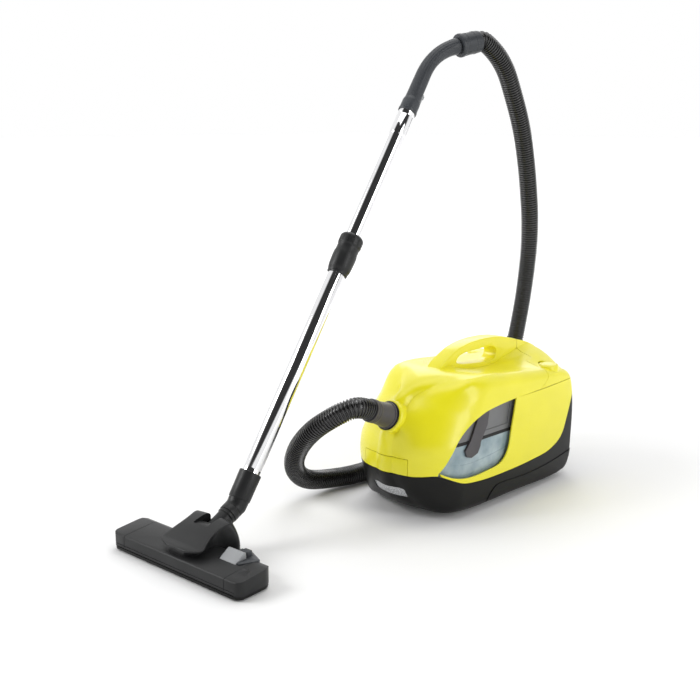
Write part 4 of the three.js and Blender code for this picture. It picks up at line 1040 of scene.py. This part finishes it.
def studio_surface(name, tone, roughness):
    """A matt floor that glows further out, so that it ends in white."""
    mat, link, nodes, bsdf = shader(name)
    coords = nodes.new("ShaderNodeTexCoord")
    drift = noise(nodes, link, coords, 3.0, 2.0)
    tint(nodes, link, drift, bsdf, (tone,) * 3, (tone + 0.01,) * 3, (0, 1))
    away = nodes.new("ShaderNodeVectorMath")
    away.operation = "LENGTH"
    link(coords.outputs["Object"], away.inputs[0])
    glow = remap(nodes, link, away.outputs["Value"], GLOW_FROM, GLOW_TO, 0, GLOW, "SMOOTHSTEP")
    link(glow, bsdf.inputs["Emission Strength"])
    fill(bsdf, {"Roughness": roughness, "Specular IOR Level": 0.2, "Emission Color": (1, 1, 1, 1)})
    return mat


floor_corners = [(x * FLOOR_HALF, y * FLOOR_HALF, 0) for x, y in ((-1, -1), (1, -1), (1, 1), (-1, 1))]
floor_mesh = mesh_from(floor_corners, [(0, 1, 2, 3)])
floor_mesh.materials.append(studio_surface("pale_floor", 0.93, 0.7))
floor_object = holder(floor_mesh, "studio_floor")


def area_light(name, at, towards, size, power):
    data = bpy.data.lights.new(name, "AREA")
    data.shape = "RECTANGLE"
    data.size, data.size_y = size
    data.energy = power
    light = bpy.data.objects.new(name, data)
    aimed = (Vector(at) - Vector(towards)).to_track_quat("Z", "Y")
    light.matrix_world = Matrix.Translation(at) @ aimed.to_matrix().to_4x4()
    bpy.context.scene.collection.objects.link(light)


TARGET = (0.0, 0.1, 0.3)
area_light("key", (-2.0, -2.2, 2.2), TARGET, (1.5, 1.5), 50)
area_light("side", (2.6, 0.4, 1.5), TARGET, (0.9, 2.0), 24)
area_light("top", (0.0, 0.4, 3.2), TARGET, (2.4, 2.4), 30)
area_light("rear", (-1.6, 2.4, 1.8), TARGET, (1.6, 1.6), 14)

# White surroundings with a dim patch high up on the near side, which the glossy tubes mirror.
DIM_PART = (0.62, -0.42, 0.66)
world = bpy.data.worlds.new("studio")
world.use_nodes = True
world_nodes, world_link = world.node_tree.nodes, world.node_tree.links.new
sky = world_nodes.new("ShaderNodeTexCoord")
facing = world_nodes.new("ShaderNodeVectorMath")
facing.operation = "DOT_PRODUCT"
facing.inputs[1].default_value = DIM_PART
world_link(sky.outputs["Generated"], facing.inputs[0])
height = world_nodes.new("ShaderNodeSeparateXYZ")
world_link(sky.outputs["Generated"], height.inputs[0])


def fade(value, low, high, start, end):
    return remap(world_nodes, world_link, value, low, high, start, end, "SMOOTHSTEP")


dimmed = world_nodes.new("ShaderNodeMath")
dimmed.operation = "MULTIPLY"
world_link(fade(facing.outputs["Value"], 0.35, 0.7, 0, 1), dimmed.inputs[0])
world_link(fade(height.outputs["Z"], 0.3, 0.42, 0, 1), dimmed.inputs[1])
world_link(fade(dimmed.outputs[0], 0, 1, 1.0, 0.04), world_nodes["Background"].inputs["Strength"])
world_nodes["Background"].inputs["Color"].default_value = (1, 1, 1, 1)
bpy.context.scene.world = world
bpy.context.scene.view_settings.view_transform = "Standard"
